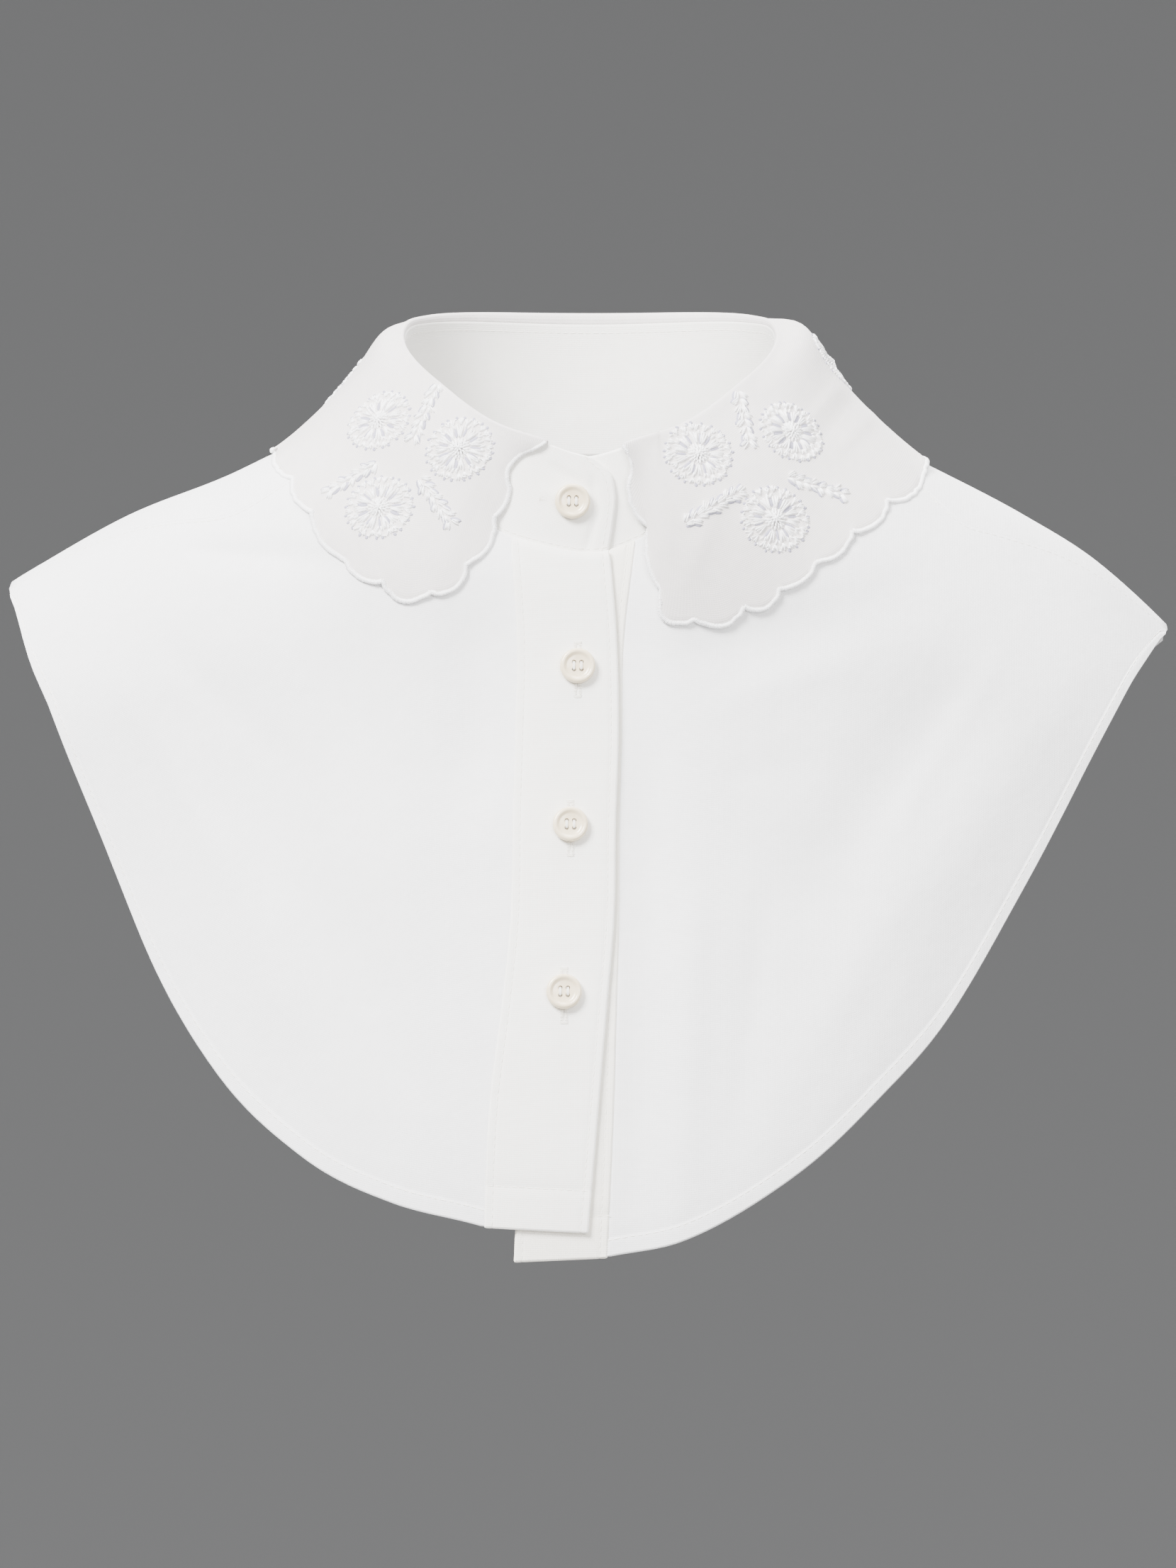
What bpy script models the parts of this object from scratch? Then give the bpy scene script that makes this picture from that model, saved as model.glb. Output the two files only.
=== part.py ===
"""A detachable shirt collar: two bib fronts and a back that lie on the shoulders, a stand round the
neck and a turned-down leaf with a scalloped edge and raised flowers. It keeps the hollow form that it
has when it is worn. The origin is the centre of the neck, +X is the wearer's left, the front faces -Y
and +Z is up. The sizes below are in millimetres, and every mesh is written in metres."""

import math

import bmesh
import bpy
import numpy as np
from mathutils import Matrix, Vector
from mathutils.bvhtree import BVHTree

MM = 0.001

# Cloth: the walls of a single panel, a folded band and the collar leaf, and how seams part
CLOTH = 1.0
BAND = 1.4
LEAF = 1.2
SEAM_GAP = 0.4
NECK_GAP = 0.8
HEM_WIDTH = 5.5
HEM_EXTRA = 0.6
BAND_HEM = 14.0

# The figure that fills the cloth: ridge of the shoulders as (across, height)
SHOULDER_LINE = (
    (-200.0, -36.0),
    (-189.0, -27.8),
    (-176.0, -19.9),
    (-151.0, -6.0),
    (-118.0, 7.2),
    (-95.0, 17.8),
    (-68.0, 25.0),
    (0.0, 31.0),
    (68.0, 25.0),
    (95.0, 18.0),
    (113.0, 9.2),
    (142.0, -6.0),
    (164.0, -19.8),
    (180.0, -33.6),
    (188.0, -41.4),
    (200.0, -54.0),
)
SHOULDER_REACH = 185.0
RIDGE_FORWARD = 6.0
FRONT_DEPTH = 52.0
FRONT_DEPTH_LOSS = 12.0
FRONT_ROUND = 66.0
CHEST_RISE = 46.0
CHEST_HEIGHT = 300.0
CHEST_HALF_WIDTH = 260.0
BACK_DEPTH = 74.0
BACK_DEPTH_LOSS = 28.0
BACK_ROUND = 52.0
BLADE_RISE = 12.0
BLADE_HEIGHT = 170.0
SECTION_ARC = 90.0

# Large soft folds as (from across, from height, to across, to height, half width, rise)
FRONT_FOLDS = (
    (-38.0, -34.0, -35.0, -100.0, 11.0, -2.4),
    (-98.0, -34.0, -62.0, -140.0, 20.0, 2.2),
    (-132.0, -17.0, -80.0, -21.0, 5.0, -1.1),
    (-120.0, -120.0, -70.0, -200.0, 16.0, 1.6),
    (30.0, -50.0, 100.0, -34.0, 11.0, -2.0),
    (150.0, -62.0, 58.0, -205.0, 17.0, 2.4),
    (118.0, -60.0, 70.0, -130.0, 14.0, -1.8),
    (22.0, -70.0, 17.0, -215.0, 9.0, -1.6),
)
BACK_FOLDS = (
    (-120.0, -30.0, -50.0, -170.0, 18.0, 2.4),
    (-60.0, -20.0, -30.0, -120.0, 13.0, -1.8),
    (116.0, -36.0, 62.0, -160.0, 18.0, 2.2),
    (20.0, -40.0, 34.0, -190.0, 14.0, -1.8),
)

# Neck seam ring, and the top of the stand as (degrees from the front, height)
NECK_HALF_WIDTH = 67.0
NECK_FRONT_SINE = 0.968
NECK_BACK_SINE = 0.70
NECK_SQUARENESS = 0.75
NECK_DIP = 0.055
NECK_DIP_ANGLE = -28.0
NECK_DIP_SPREAD = 14.0
STAND_TOP = (
    (0.0, 12.0),
    (10.0, 13.2),
    (27.0, 19.8),
    (55.0, 35.2),
    (75.0, 44.3),
    (90.0, 50.3),
    (105.0, 55.0),
    (120.0, 57.2),
    (180.0, 57.8),
)
TOP_HALF_WIDTH = 61.5
TOP_HALF_DEPTH = 51.0
TOP_CENTRE_Y = -4.0
# The stand's outer front end as (part of its height, degrees past the front)
STAND_END = ((0.0, 4.7), (0.3, 6.2), (0.6, 6.9), (0.85, 4.6), (1.0, 0.4))
STAND_TUCKED_END = -372.8
UNDER_DEPTH = 1.9
UNDER_FROM = 12.0
UNDER_TO = 30.0

# Bib edges as (across, height), from the shoulder tip round to the front opening
SEAM_ANGLE = 78.0
SEAM_COLUMNS = 11
RIGHT_SEAM = ((-188.6, -29.4), (-168.6, -18.2), (-138.8, -8.4), (-112.5, -4.0), (-97.8, 5.0))
LEFT_SEAM = ((187.6, -42.6), (169.5, -28.0), (152.2, -18.3), (131.3, -11.6), (119.3, -7.6), (109.0, 2.0))
RIGHT_EDGE = (
    (-188.0, -32.4),
    (-182.8, -47.6),
    (-174.2, -68.4),
    (-157.3, -109.4),
    (-140.0, -150.7),
    (-119.4, -184.8),
    (-91.0, -211.8),
    (-63.9, -225.3),
    (-32.8, -233.4),
)
LEFT_EDGE = (
    (186.6, -44.4),
    (182.8, -48.4),
    (173.7, -61.8),
    (159.0, -89.0),
    (137.0, -130.0),
    (112.0, -171.0),
    (87.2, -197.9),
    (53.7, -225.2),
    (29.1, -238.0),
    (5.0, -243.0),
)
# Half of the back's lower edge as (across, height), from the shoulder tip to the middle
BACK_EDGE = (
    (187.4, -46.0),
    (181.0, -53.5),
    (172.0, -66.0),
    (158.0, -92.0),
    (138.0, -128.0),
    (114.0, -164.0),
    (86.0, -194.0),
    (56.0, -211.0),
    (0.0, -221.0),
)
BACK_TIP_RISE = 12.0

# Front opening as (height, buttonhole band's outer edge, its free edge, button band's showing edge)
OPENING = (
    (-14.0, -25.0, 5.6, 14.4),
    (-47.4, -22.8, 8.2, 10.4),
    (-76.4, -23.3, 8.7, 9.8),
    (-105.3, -24.2, 7.8, 9.0),
    (-136.6, -24.9, 7.2, 8.8),
    (-163.2, -27.6, 5.0, 8.0),
    (-192.2, -31.2, 2.6, 7.2),
    (-245.0, -33.4, -1.8, 5.0),
)
BUTTONHOLE_BAND_BOTTOM = ((-33.4, -233.5), (-1.8, -235.2))
BUTTON_BAND_BOTTOM = ((-23.8, -244.4), (5.0, -243.1))
BUTTON_BAND_WIDTH = 28.6

# Collar leaf. Each lobe of its scalloped edge as (across, height, bulge), from the front opening
LEAF_LIFT = 2.9
LEAF_CLEAR = 1.9
# Where the leaf lies over the rounded top of a shoulder: how far past the neck, and front to back
SHOULDER_MARGIN = 8.0
SHOULDER_TOP_DEPTH = 36.0
LEAF_RISE = ((0.0, 0.6), (0.1, 1.9), (0.9, 3.2), (2.2, 3.1), (3.1, 1.7))
LEAF_SWELL = 0.5
# How far each column bulges between the fold and its edge as (degrees round the neck, bulge)
LEAF_BULGE = (
    (10.0, 6.0),
    (45.0, 5.0),
    (86.0, -1.0),
    (118.0, 0.5),
    (180.0, 4.0),
    (242.0, 0.0),
    (274.0, -1.0),
    (315.0, 4.6),
    (350.0, 6.0),
)
# How much fuller the fall is close under the fold as (degrees round the neck, fullness), and where
LEAF_CORNERS = (
    (0.0, 0.0),
    (50.0, 0.0),
    (72.0, 3.0),
    (90.0, 6.4),
    (112.0, 8.0),
    (140.0, 3.2),
    (180.0, 0.0),
    (220.0, 1.6),
    (248.0, 4.6),
    (270.0, 4.0),
    (290.0, 1.8),
    (312.0, 0.0),
    (360.0, 0.0),
)
CORNER_AT = 0.2
LEFT_LEAF_START = (11.6, 11.8)
LEFT_LOBES = (
    (19.4, -9.9, 2.4),
    (23.2, -30.2, 2.8),
    (34.0, -39.7, 6.6),
    (49.7, -35.6, 4.2),
    (61.1, -29.6, 3.6),
    (72.8, -21.0, 2.6),
    (84.8, -11.0, 2.8),
    (96.2, -0.9, 3.4),
    (108.4, 8.6, 3.6),
)
RIGHT_LEAF_START = (-17.4, 13.2)
RIGHT_LOBES = (
    (-26.0, 9.0, -0.8),
    (-31.0, -6.6, 2.8),
    (-39.9, -21.7, 3.4),
    (-51.5, -31.0, 4.2),
    (-66.8, -27.3, 4.6),
    (-78.7, -20.3, 2.8),
    (-89.6, -4.6, 3.0),
    (-96.2, 6.4, 2.6),
    (-102.6, 15.2, 2.4),
)
# The leaf's edge behind the shoulders as (across, part of the section's quarter turn)
LEAF_BACK_EDGE = (
    (108.4, -0.17),
    (108.6, 0.02),
    (104.0, 0.24),
    (94.0, 0.42),
    (70.0, 0.54),
    (36.0, 0.61),
    (0.0, 0.63),
    (-36.0, 0.61),
    (-67.0, 0.54),
    (-89.0, 0.42),
    (-98.0, 0.24),
    (-102.4, 0.08),
    (-102.6, -0.06),
)
BACK_LOBES = 15
BACK_LOBE_BULGE = 2.9
LOBE_STEPS = 4
# Where columns of the leaf leave the fold, in degrees round the neck: front ends, corners, shoulders
LEAF_FAN = (10.0, 24.0, 90.0, 270.0, 318.0, 344.0)
LEAF_FALL_ROWS = 5

# Raised flowers as (view from, across, height) and sprigs as (view from, across, height, across, height)
FLOWER_RADIUS = 11.2
FLOWER_PETALS = 10
FLOWERS = (
    (0.0, -68.4, 25.2),
    (0.0, -42.2, 15.6),
    (0.0, -67.9, -3.4),
    (0.0, 35.0, 13.8),
    (0.0, 65.4, 21.4),
    (0.0, 59.7, -7.3),
    (90.0, 6.0, 42.5),
    (-90.0, -12.0, 38.0),
    (180.0, -64.0, 31.0),
    (180.0, -23.0, 25.0),
    (180.0, 22.0, 33.0),
    (180.0, 64.0, 26.0),
)
SPRIGS = (
    (0.0, -51.0, 38.0, -55.0, 19.0),
    (0.0, -69.5, 11.5, -83.0, 1.6),
    (0.0, -55.5, 6.2, -44.4, -8.0),
    (0.0, 49.2, 35.6, 49.9, 16.9),
    (0.0, 30.3, -9.0, 48.0, 1.6),
    (0.0, 64.0, 6.6, 81.0, 0.6),
    (180.0, 0.0, 44.0, -2.0, 24.0),
)
STITCH_GAP = 0.6
# Relief of a flower as (part of its radius, height on a petal, height between petals)
FLOWER_RELIEF = ((0.0, 1.2, 1.2), (0.26, 0.95, 0.8), (0.64, 0.95, 0.4), (1.0, 0.8, 0.5))
SPRIG_LEAFLETS = 5
SPRIG_HALF_WIDTH = 2.3
SPRIG_STEM_HALF_WIDTH = 0.9
SPRIG_HEIGHT = 0.8

# Buttons as (across, height) of their centres, the first on the stand
BUTTONS = ((-5.5, -1.8), (-3.9, -54.9), (-6.2, -105.8), (-8.2, -159.1))
BUTTON_RADIUS = 5.7
BUTTON_SIDES = 18
# Turned profile of a button as (part of its radius, height)
BUTTON_PROFILE = (
    (0.0, 0.0),
    (0.86, 0.0),
    (1.0, 0.7),
    (1.0, 1.5),
    (0.9, 2.2),
    (0.76, 2.1),
    (0.62, 1.5),
    (0.0, 1.4),
)
BUTTON_HOLE_RADIUS = 0.75
BUTTON_HOLE_OFFSET = 1.25
BUTTON_HOLE_SIDES = 6
BUTTON_SEAT = 0.35


def smooth_curve(table, at):
    """Values of a smooth curve through the rows of a table, whose first column rises."""
    rows = np.array(table, float)
    keys = rows[:, 0]
    slopes = np.gradient(rows[:, 1:], keys, axis=0)
    at = np.clip(np.asarray(at, float), keys[0], keys[-1])
    row = np.clip(np.searchsorted(keys, at, side="right") - 1, 0, len(keys) - 2)
    span = keys[row + 1] - keys[row]
    t = ((at - keys[row]) / span)[..., None]
    span = span[..., None]
    start, end = rows[row, 1:], rows[row + 1, 1:]
    return (
        start * (1 + 2 * t) * (1 - t) ** 2
        + slopes[row] * span * t * (1 - t) ** 2
        + end * t * t * (3 - 2 * t)
        + slopes[row + 1] * span * t * t * (t - 1)
    )


def along_points(points, parts):
    """Places at the given parts of the length of a smooth line through points."""
    points = np.array(points, float)
    steps = np.linalg.norm(np.diff(points, axis=0), axis=1)
    lengths = np.concatenate([[0.0], np.cumsum(steps)])
    table = np.column_stack([lengths / lengths[-1], points])
    return smooth_curve(table, parts)


def smooth_step(low, high, value):
    """Rises smoothly from 0 at low to 1 at high."""
    t = np.clip((np.asarray(value, float) - low) / (high - low), 0, 1)
    return t * t * (3 - 2 * t)


def ridge_height(x):
    """Height of the shoulder ridge."""
    return smooth_curve(SHOULDER_LINE, x)[..., 0]


def fold_relief(x, z, folds):
    """How far the soft folds stand out at a place seen square on."""
    total = np.zeros(np.broadcast(x, z).shape)
    for from_x, from_z, to_x, to_z, half_width, rise in folds:
        run_x, run_z = to_x - from_x, to_z - from_z
        along = ((x - from_x) * run_x + (z - from_z) * run_z) / (run_x**2 + run_z**2)
        aside = ((x - from_x) * run_z - (z - from_z) * run_x) / math.hypot(run_x, run_z)
        fade = smooth_step(-0.25, 0.3, along) * smooth_step(1.25, 0.7, along)
        total = total + rise * fade * np.exp(-((aside / half_width) ** 2))
    return total


def figure_point(x, turn):
    """A point of the figure: turn is 0 on the shoulder ridge, -1 where the front hangs, 1 at the back."""
    x, turn = np.broadcast_arrays(np.asarray(x, float), np.asarray(turn, float))
    front = turn < 0
    size = np.abs(turn)
    angle = np.minimum(size, 1) * math.pi / 2
    rounding = np.where(front, FRONT_ROUND, BACK_ROUND)
    out = (x / SHOULDER_REACH) ** 2
    depth = np.where(front, FRONT_DEPTH - FRONT_DEPTH_LOSS * out, BACK_DEPTH - BACK_DEPTH_LOSS * out)
    drop = rounding * (1 - np.cos(angle)) + rounding * math.pi / 2 * np.maximum(size - 1, 0)
    z = ridge_height(x) - drop
    rise = np.where(front, CHEST_RISE * (1 - (x / CHEST_HALF_WIDTH) ** 2), BLADE_RISE)
    fall = np.clip(drop / np.where(front, CHEST_HEIGHT, BLADE_HEIGHT), 0, 1)
    reach = depth * np.sin(angle) + rise * (1 - np.cos(math.pi * fall)) / 2
    relief = np.where(front, fold_relief(x, z, FRONT_FOLDS), fold_relief(x, z, BACK_FOLDS))
    reach = reach + relief * smooth_step(0, 0.5, size)
    y = RIDGE_FORWARD * (out - 1) + np.where(front, -reach, reach)
    return np.stack([x, y, z], axis=-1)


def turn_at(x, z, side):
    """The turn of figure_point that gives a height, on the front (side -1) or the back (side 1)."""
    rounding = FRONT_ROUND if side < 0 else BACK_ROUND
    drop = np.maximum(ridge_height(x) - np.asarray(z, float), 0) / rounding
    rounded = np.arccos(np.clip(1 - drop, 0, 1)) / (math.pi / 2)
    return side * np.where(drop < 1, rounded, 1 + (drop - 1) / (math.pi / 2))


def neck_seam(degrees, grow=0.0):
    """(across, turn) on the neck seam, at an angle round the neck from the front, grown outwards."""
    degrees = (np.asarray(degrees, float) + 180) % 360 - 180
    angle = np.radians(degrees)
    facing = np.cos(angle)
    front = NECK_FRONT_SINE * np.maximum(facing, 0) ** NECK_SQUARENESS
    back = NECK_BACK_SINE * np.maximum(-facing, 0) ** NECK_SQUARENESS
    turn = (np.arcsin(back) - np.arcsin(front)) / (math.pi / 2)
    turn = turn - NECK_DIP * np.exp(-(((degrees - NECK_DIP_ANGLE) / NECK_DIP_SPREAD) ** 2))
    turn = turn - grow / SECTION_ARC * facing
    return (NECK_HALF_WIDTH + grow) * np.sin(angle), turn


def under_level(x):
    """How far the wearer's left side is tucked in where the right side laps over it."""
    return UNDER_DEPTH * (1 - smooth_step(UNDER_FROM, UNDER_TO, x))


def neck_seam_point(degrees):
    return figure_point(*neck_seam(degrees))


def stand_top_point(degrees):
    """A point on the stand's top edge."""
    degrees = (np.asarray(degrees, float) + 180) % 360 - 180
    angle = np.radians(degrees)
    x = TOP_HALF_WIDTH * np.sin(angle)
    y = TOP_CENTRE_Y - TOP_HALF_DEPTH * np.cos(angle)
    return np.stack([x, y, smooth_curve(STAND_TOP, np.abs(degrees))[..., 0]], axis=-1)


def front_cover_y(x, z):
    """The outermost cloth in front at a place: the stand above the neck seam, else the bib."""
    degrees = math.degrees(math.asin(max(-0.999, min(0.999, x / NECK_HALF_WIDTH))))
    low = neck_seam_point(degrees)
    bib = figure_point(x, turn_at(x, z, -1))[1] - CLOTH
    if abs(x) > TOP_HALF_WIDTH - 1 or z < low[2]:
        return bib
    high = stand_top_point(math.degrees(math.asin(x / TOP_HALF_WIDTH)))
    part = min(1.0, (z - low[2]) / (high[2] - low[2]))
    return low[1] + (high[1] - low[1]) * part


def shoulder_cover(x, y):
    """Height of the outer cloth on the rounded top of a shoulder."""
    out = (x / SHOULDER_REACH) ** 2
    aside = y - RIDGE_FORWARD * (out - 1)
    depth = FRONT_DEPTH - FRONT_DEPTH_LOSS * out if aside < 0 else BACK_DEPTH - BACK_DEPTH_LOSS * out
    rounding = FRONT_ROUND if aside < 0 else BACK_ROUND
    angle = math.asin(max(-1.0, min(1.0, aside / depth)))
    return float(ridge_height(x)) - rounding * (1 - math.cos(angle)) + CLOTH


def grid_normals(points):
    """Unit normals of a grid of points, from its own lines."""
    across = np.gradient(points, axis=0)
    down = np.gradient(points, axis=1)
    normals = np.cross(across, down)
    return normals / np.linalg.norm(normals, axis=-1, keepdims=True)


def figure_normals(x, turn):
    """Unit outward normals of the figure."""
    across = figure_point(x + 0.5, turn) - figure_point(x - 0.5, turn)
    onward = figure_point(x, turn + 0.005) - figure_point(x, turn - 0.005)
    normals = np.cross(across, onward)
    return normals / np.linalg.norm(normals, axis=-1, keepdims=True)


def wall_object(name, points, outward, inward, material, normals):
    """A closed wall on a grid of points, moved out and in along unit normals."""
    flip = np.sum(grid_normals(points) * normals) < 0
    outer = points + normals * np.asarray(outward)[..., None]
    inner = points - normals * np.asarray(inward)[..., None]
    count_u, count_v = points.shape[:2]
    mesh = bmesh.new()
    layers = []
    for layer in (outer, inner):
        layers.append([[mesh.verts.new(Vector(p) * MM) for p in line] for line in layer.tolist()])
    top, bottom = layers
    for u in range(count_u - 1):
        for v in range(count_v - 1):
            for grid, turned in ((top, flip), (bottom, not flip)):
                corners = [grid[u][v], grid[u + 1][v], grid[u + 1][v + 1], grid[u][v + 1]]
                mesh.faces.new(corners[::-1] if turned else corners)
    rim = [(u, 0) for u in range(count_u)]
    rim += [(count_u - 1, v) for v in range(1, count_v)]
    rim += [(u, count_v - 1) for u in range(count_u - 2, -1, -1)]
    rim += [(0, v) for v in range(count_v - 2, 0, -1)]
    for (u, v), (next_u, next_v) in zip(rim, rim[1:] + rim[:1]):
        corners = [top[next_u][next_v], top[u][v], bottom[u][v], bottom[next_u][next_v]]
        mesh.faces.new(corners[::-1] if flip else corners)
    return mesh_object(name, mesh, material)


def mesh_object(name, mesh, material):
    """A named object from a bmesh, shaded smooth with its own material."""
    bmesh.ops.triangulate(mesh, faces=mesh.faces)
    data = bpy.data.meshes.new(name)
    mesh.to_mesh(data)
    mesh.free()
    data.materials.append(material)
    data.shade_smooth()
    data.set_sharp_from_angle(angle=math.radians(40))
    made = bpy.data.objects.new(name, data)
    bpy.context.scene.collection.objects.link(made)
    return made


def plain_material(name, colour, roughness):
    """A Principled material with one colour."""
    material = bpy.data.materials.new(name)
    material.use_nodes = True
    shader = material.node_tree.nodes["Principled BSDF"]
    shader.inputs["Base Color"].default_value = (*colour, 1.0)
    shader.inputs["Roughness"].default_value = roughness
    shader.inputs["Metallic"].default_value = 0.0
    return material


def panel_rows(lengths, rows, crowd):
    """Row places down each column, closer together near the top, with a step where the hem starts."""
    plain = np.linspace(0, 1, rows) ** crowd
    hem = (1 - HEM_WIDTH / np.maximum(lengths, 2.5 * HEM_WIDTH))[:, None]
    step = (0.5 / np.maximum(lengths, 2.5 * HEM_WIDTH))[:, None]
    return np.concatenate([plain[None, :] * hem, hem + step, np.ones_like(hem)], axis=1)


def panel(name, top, bottom, rows, crowd, material, side_edge=None, level=None, sideways=1.0):
    """A bib panel between two edges, each a line of (across, turn), with its hem at the bottom edge."""
    scale = np.array([1.0, SECTION_ARC])
    lengths = np.linalg.norm((bottom - top) * scale, axis=1)
    parts = panel_rows(lengths, rows, crowd)[..., None]
    places = top[:, None, :] * (1 - parts) + bottom[:, None, :] * parts
    spread = parts[..., 0] ** sideways
    x = top[:, None, 0] * (1 - spread) + bottom[:, None, 0] * spread
    turn = places[..., 1]
    if side_edge is not None:
        heights = figure_point(x[-1], turn[-1])[:, 2]
        near = (np.linspace(0, 1, len(top)) ** 4)[:, None]
        x = x + near * (side_edge(heights) - x[-1])[None, :]
    points = figure_point(x, turn)
    if level is not None:
        points[..., 1] += level(x)
    inward = np.zeros(x.shape)
    inward[:, -2:] = HEM_EXTRA
    outward = np.full(x.shape, CLOTH)
    return wall_object(name, points, outward, inward, material, figure_normals(x, turn))


def seam_line(seam, end_angle, gap_side):
    """The shoulder seam as (across, turn), from the tip to the neck seam, half a gap to one side."""
    seam = np.array(seam)
    places = np.column_stack([seam[:, 0], turn_at(seam[:, 0], seam[:, 1], -1)])
    places = np.vstack([places, np.column_stack(neck_seam([end_angle], NECK_GAP))])
    places[:, 1] += gap_side * SEAM_GAP / 2 / SECTION_ARC
    return places


def edge_line(edge, side):
    """A lower edge as (across, turn)."""
    edge = np.array(edge)
    return np.column_stack([edge[:, 0], turn_at(edge[:, 0], edge[:, 1], side)])


def even_parts(count):
    return np.linspace(0, 1, count)


def front_panel(name, seam, edge, sign, opening_column, level, material):
    """One bib front, from its shoulder tip to the front opening."""
    seam_places = along_points(seam_line(seam, sign * SEAM_ANGLE, -1), even_parts(SEAM_COLUMNS))
    opening_x = opening_edge(opening_column)(np.array([OPENING[0][0]]))[0] + sign * SEAM_GAP
    opening_angle = math.degrees(math.asin(opening_x / NECK_HALF_WIDTH))
    angles = sign * SEAM_ANGLE + (opening_angle - sign * SEAM_ANGLE) * even_parts(10)[1:]
    neck_places = np.column_stack(neck_seam(angles, NECK_GAP))
    top = np.vstack([seam_places, neck_places])
    bottom = along_points(edge_line(edge, -1), even_parts(len(top)))
    edge_x = opening_edge(opening_column)
    return panel(
        name,
        top,
        bottom,
        11,
        1.35,
        material,
        side_edge=lambda heights: edge_x(heights) + sign * SEAM_GAP,
        level=level,
    )


def opening_edge(column):
    """The across position of one edge of the front opening, at any height."""
    rows = np.array(OPENING)[::-1]
    table = rows[:, [0, column]]
    return lambda heights: smooth_curve(table, heights)[..., 0]


def band(name, near_edge, far_edge, bottom, level, material):
    """A front band between two edges, from the neck seam to its own hem."""
    (near_x, near_z), (far_x, far_z) = bottom
    parts_across = even_parts(6)
    bottom_z = near_z + (far_z - near_z) * parts_across
    hem_rows = np.array([BAND_HEM, BAND_HEM - 0.5, 0.0])
    lines, normals = [], []
    for part, low in zip(parts_across, bottom_z):
        start_x = near_edge(-14.0) * (1 - part) + far_edge(-14.0) * part
        angle = math.degrees(math.asin(float(start_x) / NECK_HALF_WIDTH))
        high = figure_point(*neck_seam(angle, NECK_GAP))[2]
        heights = np.concatenate([np.linspace(high, low + BAND_HEM + 0.5, 13), low + hem_rows[1:]])
        x = near_edge(heights) * (1 - part) + far_edge(heights) * part
        turn = turn_at(x, heights, -1)
        lines.append(figure_point(x, turn))
        normals.append(figure_normals(x, turn))
    points = np.array(lines)
    points[..., 1] += level
    inward = np.zeros(points.shape[:2])
    inward[:, -2:] = 0.3
    return wall_object(name, points, np.full(inward.shape, BAND), inward, material, np.array(normals))


def back_panel(material):
    """The back, from both shoulder seams and the back of the neck to its rounded lower edge."""
    right = along_points(seam_line(RIGHT_SEAM, -SEAM_ANGLE, 1), even_parts(SEAM_COLUMNS))
    left = along_points(seam_line(LEFT_SEAM, SEAM_ANGLE, 1), even_parts(SEAM_COLUMNS))
    angles = np.linspace(-SEAM_ANGLE, SEAM_ANGLE - 360, 23)[1:-1]
    neck = np.column_stack(neck_seam(angles, NECK_GAP))
    top = np.vstack([right, neck, left[::-1]])
    half = np.array(BACK_EDGE)
    rise = BACK_TIP_RISE * smooth_step(90, SHOULDER_REACH, half[:, 0])
    wearers_right = np.column_stack([-half[:, 0], half[:, 1] + rise])
    edge = np.vstack([wearers_right, half[-2::-1]])
    bottom = along_points(edge_line(edge, 1), even_parts(len(top)))
    return panel("back", top, bottom, 11, 1.5, material, sideways=0.6)


def stand(material):
    """The band round the neck. Its outer end is rounded, and its other end is tucked under it."""
    count = 56
    parts = even_parts(6)
    ends = smooth_curve(STAND_END, parts)[..., 0]
    lines = []
    for place in even_parts(count):
        base = STAND_END[0][1] * (1 - place) + STAND_TUCKED_END * place
        near = float(smooth_step(0.075, 0.0, place))
        degrees = base + near * (ends - STAND_END[0][1])
        low, high = neck_seam_point(degrees), stand_top_point(degrees)
        line = low + (high - low) * parts[:, None]
        tucked = float(smooth_step(-300, -330, base))
        line[:, 1] += tucked * under_level(line[:, 0])
        lines.append(line)
    points = np.array(lines)
    inward = np.full(points.shape[:2], BAND)
    return wall_object("collar_stand", points, inward * 0, inward, material, -grid_normals(points))


def lobe_points(start, lobes, turn_sign):
    """Points of a scalloped edge, and the same number of steps on each lobe, without its last cusp."""
    found = []
    here = np.array(start, float)
    for across, height, bulge in lobes:
        there = np.array((across, height), float)
        run = there - here
        out = turn_sign * np.array((run[1], -run[0])) / np.linalg.norm(run)
        for step in range(LOBE_STEPS):
            part = step / LOBE_STEPS
            found.append(here + run * part + out * bulge * math.sin(math.pi * part) ** 0.8)
        here = there
    return found


def leaf_edge():
    """The whole scalloped edge in space, from the wearer's left front end round the back."""
    left = lobe_points(LEFT_LEAF_START, LEFT_LOBES, 1)
    right = lobe_points(RIGHT_LEAF_START, RIGHT_LOBES, -1) + [np.array(RIGHT_LOBES[-1][:2])]
    scale = np.array([1.0, SECTION_ARC])
    cusps = along_points(np.array(LEAF_BACK_EDGE) * scale, even_parts(BACK_LOBES + 1))
    lobes = [(x, w, BACK_LOBE_BULGE) for x, w in cusps[1:]]
    back = lobe_points(cusps[0], lobes, 1)
    edge = [(x, front_cover_y(x, z) - LEAF_LIFT + CLOTH, z) for x, z in left]
    for x, w in back:
        place = figure_point(x, w / SECTION_ARC)
        ahead = figure_point(x + 0.5, w / SECTION_ARC) - place
        below = figure_point(x, (w + 0.5) / SECTION_ARC) - place
        out = np.cross(ahead, below)
        out = out * -1 if out[2] < 0 and abs(w) < 60 else out
        edge.append(place + out / np.linalg.norm(out) * LEAF_LIFT)
    edge += [(x, front_cover_y(x, z) - LEAF_LIFT + CLOTH, z) for x, z in right[::-1]]
    return np.array(edge)


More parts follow.
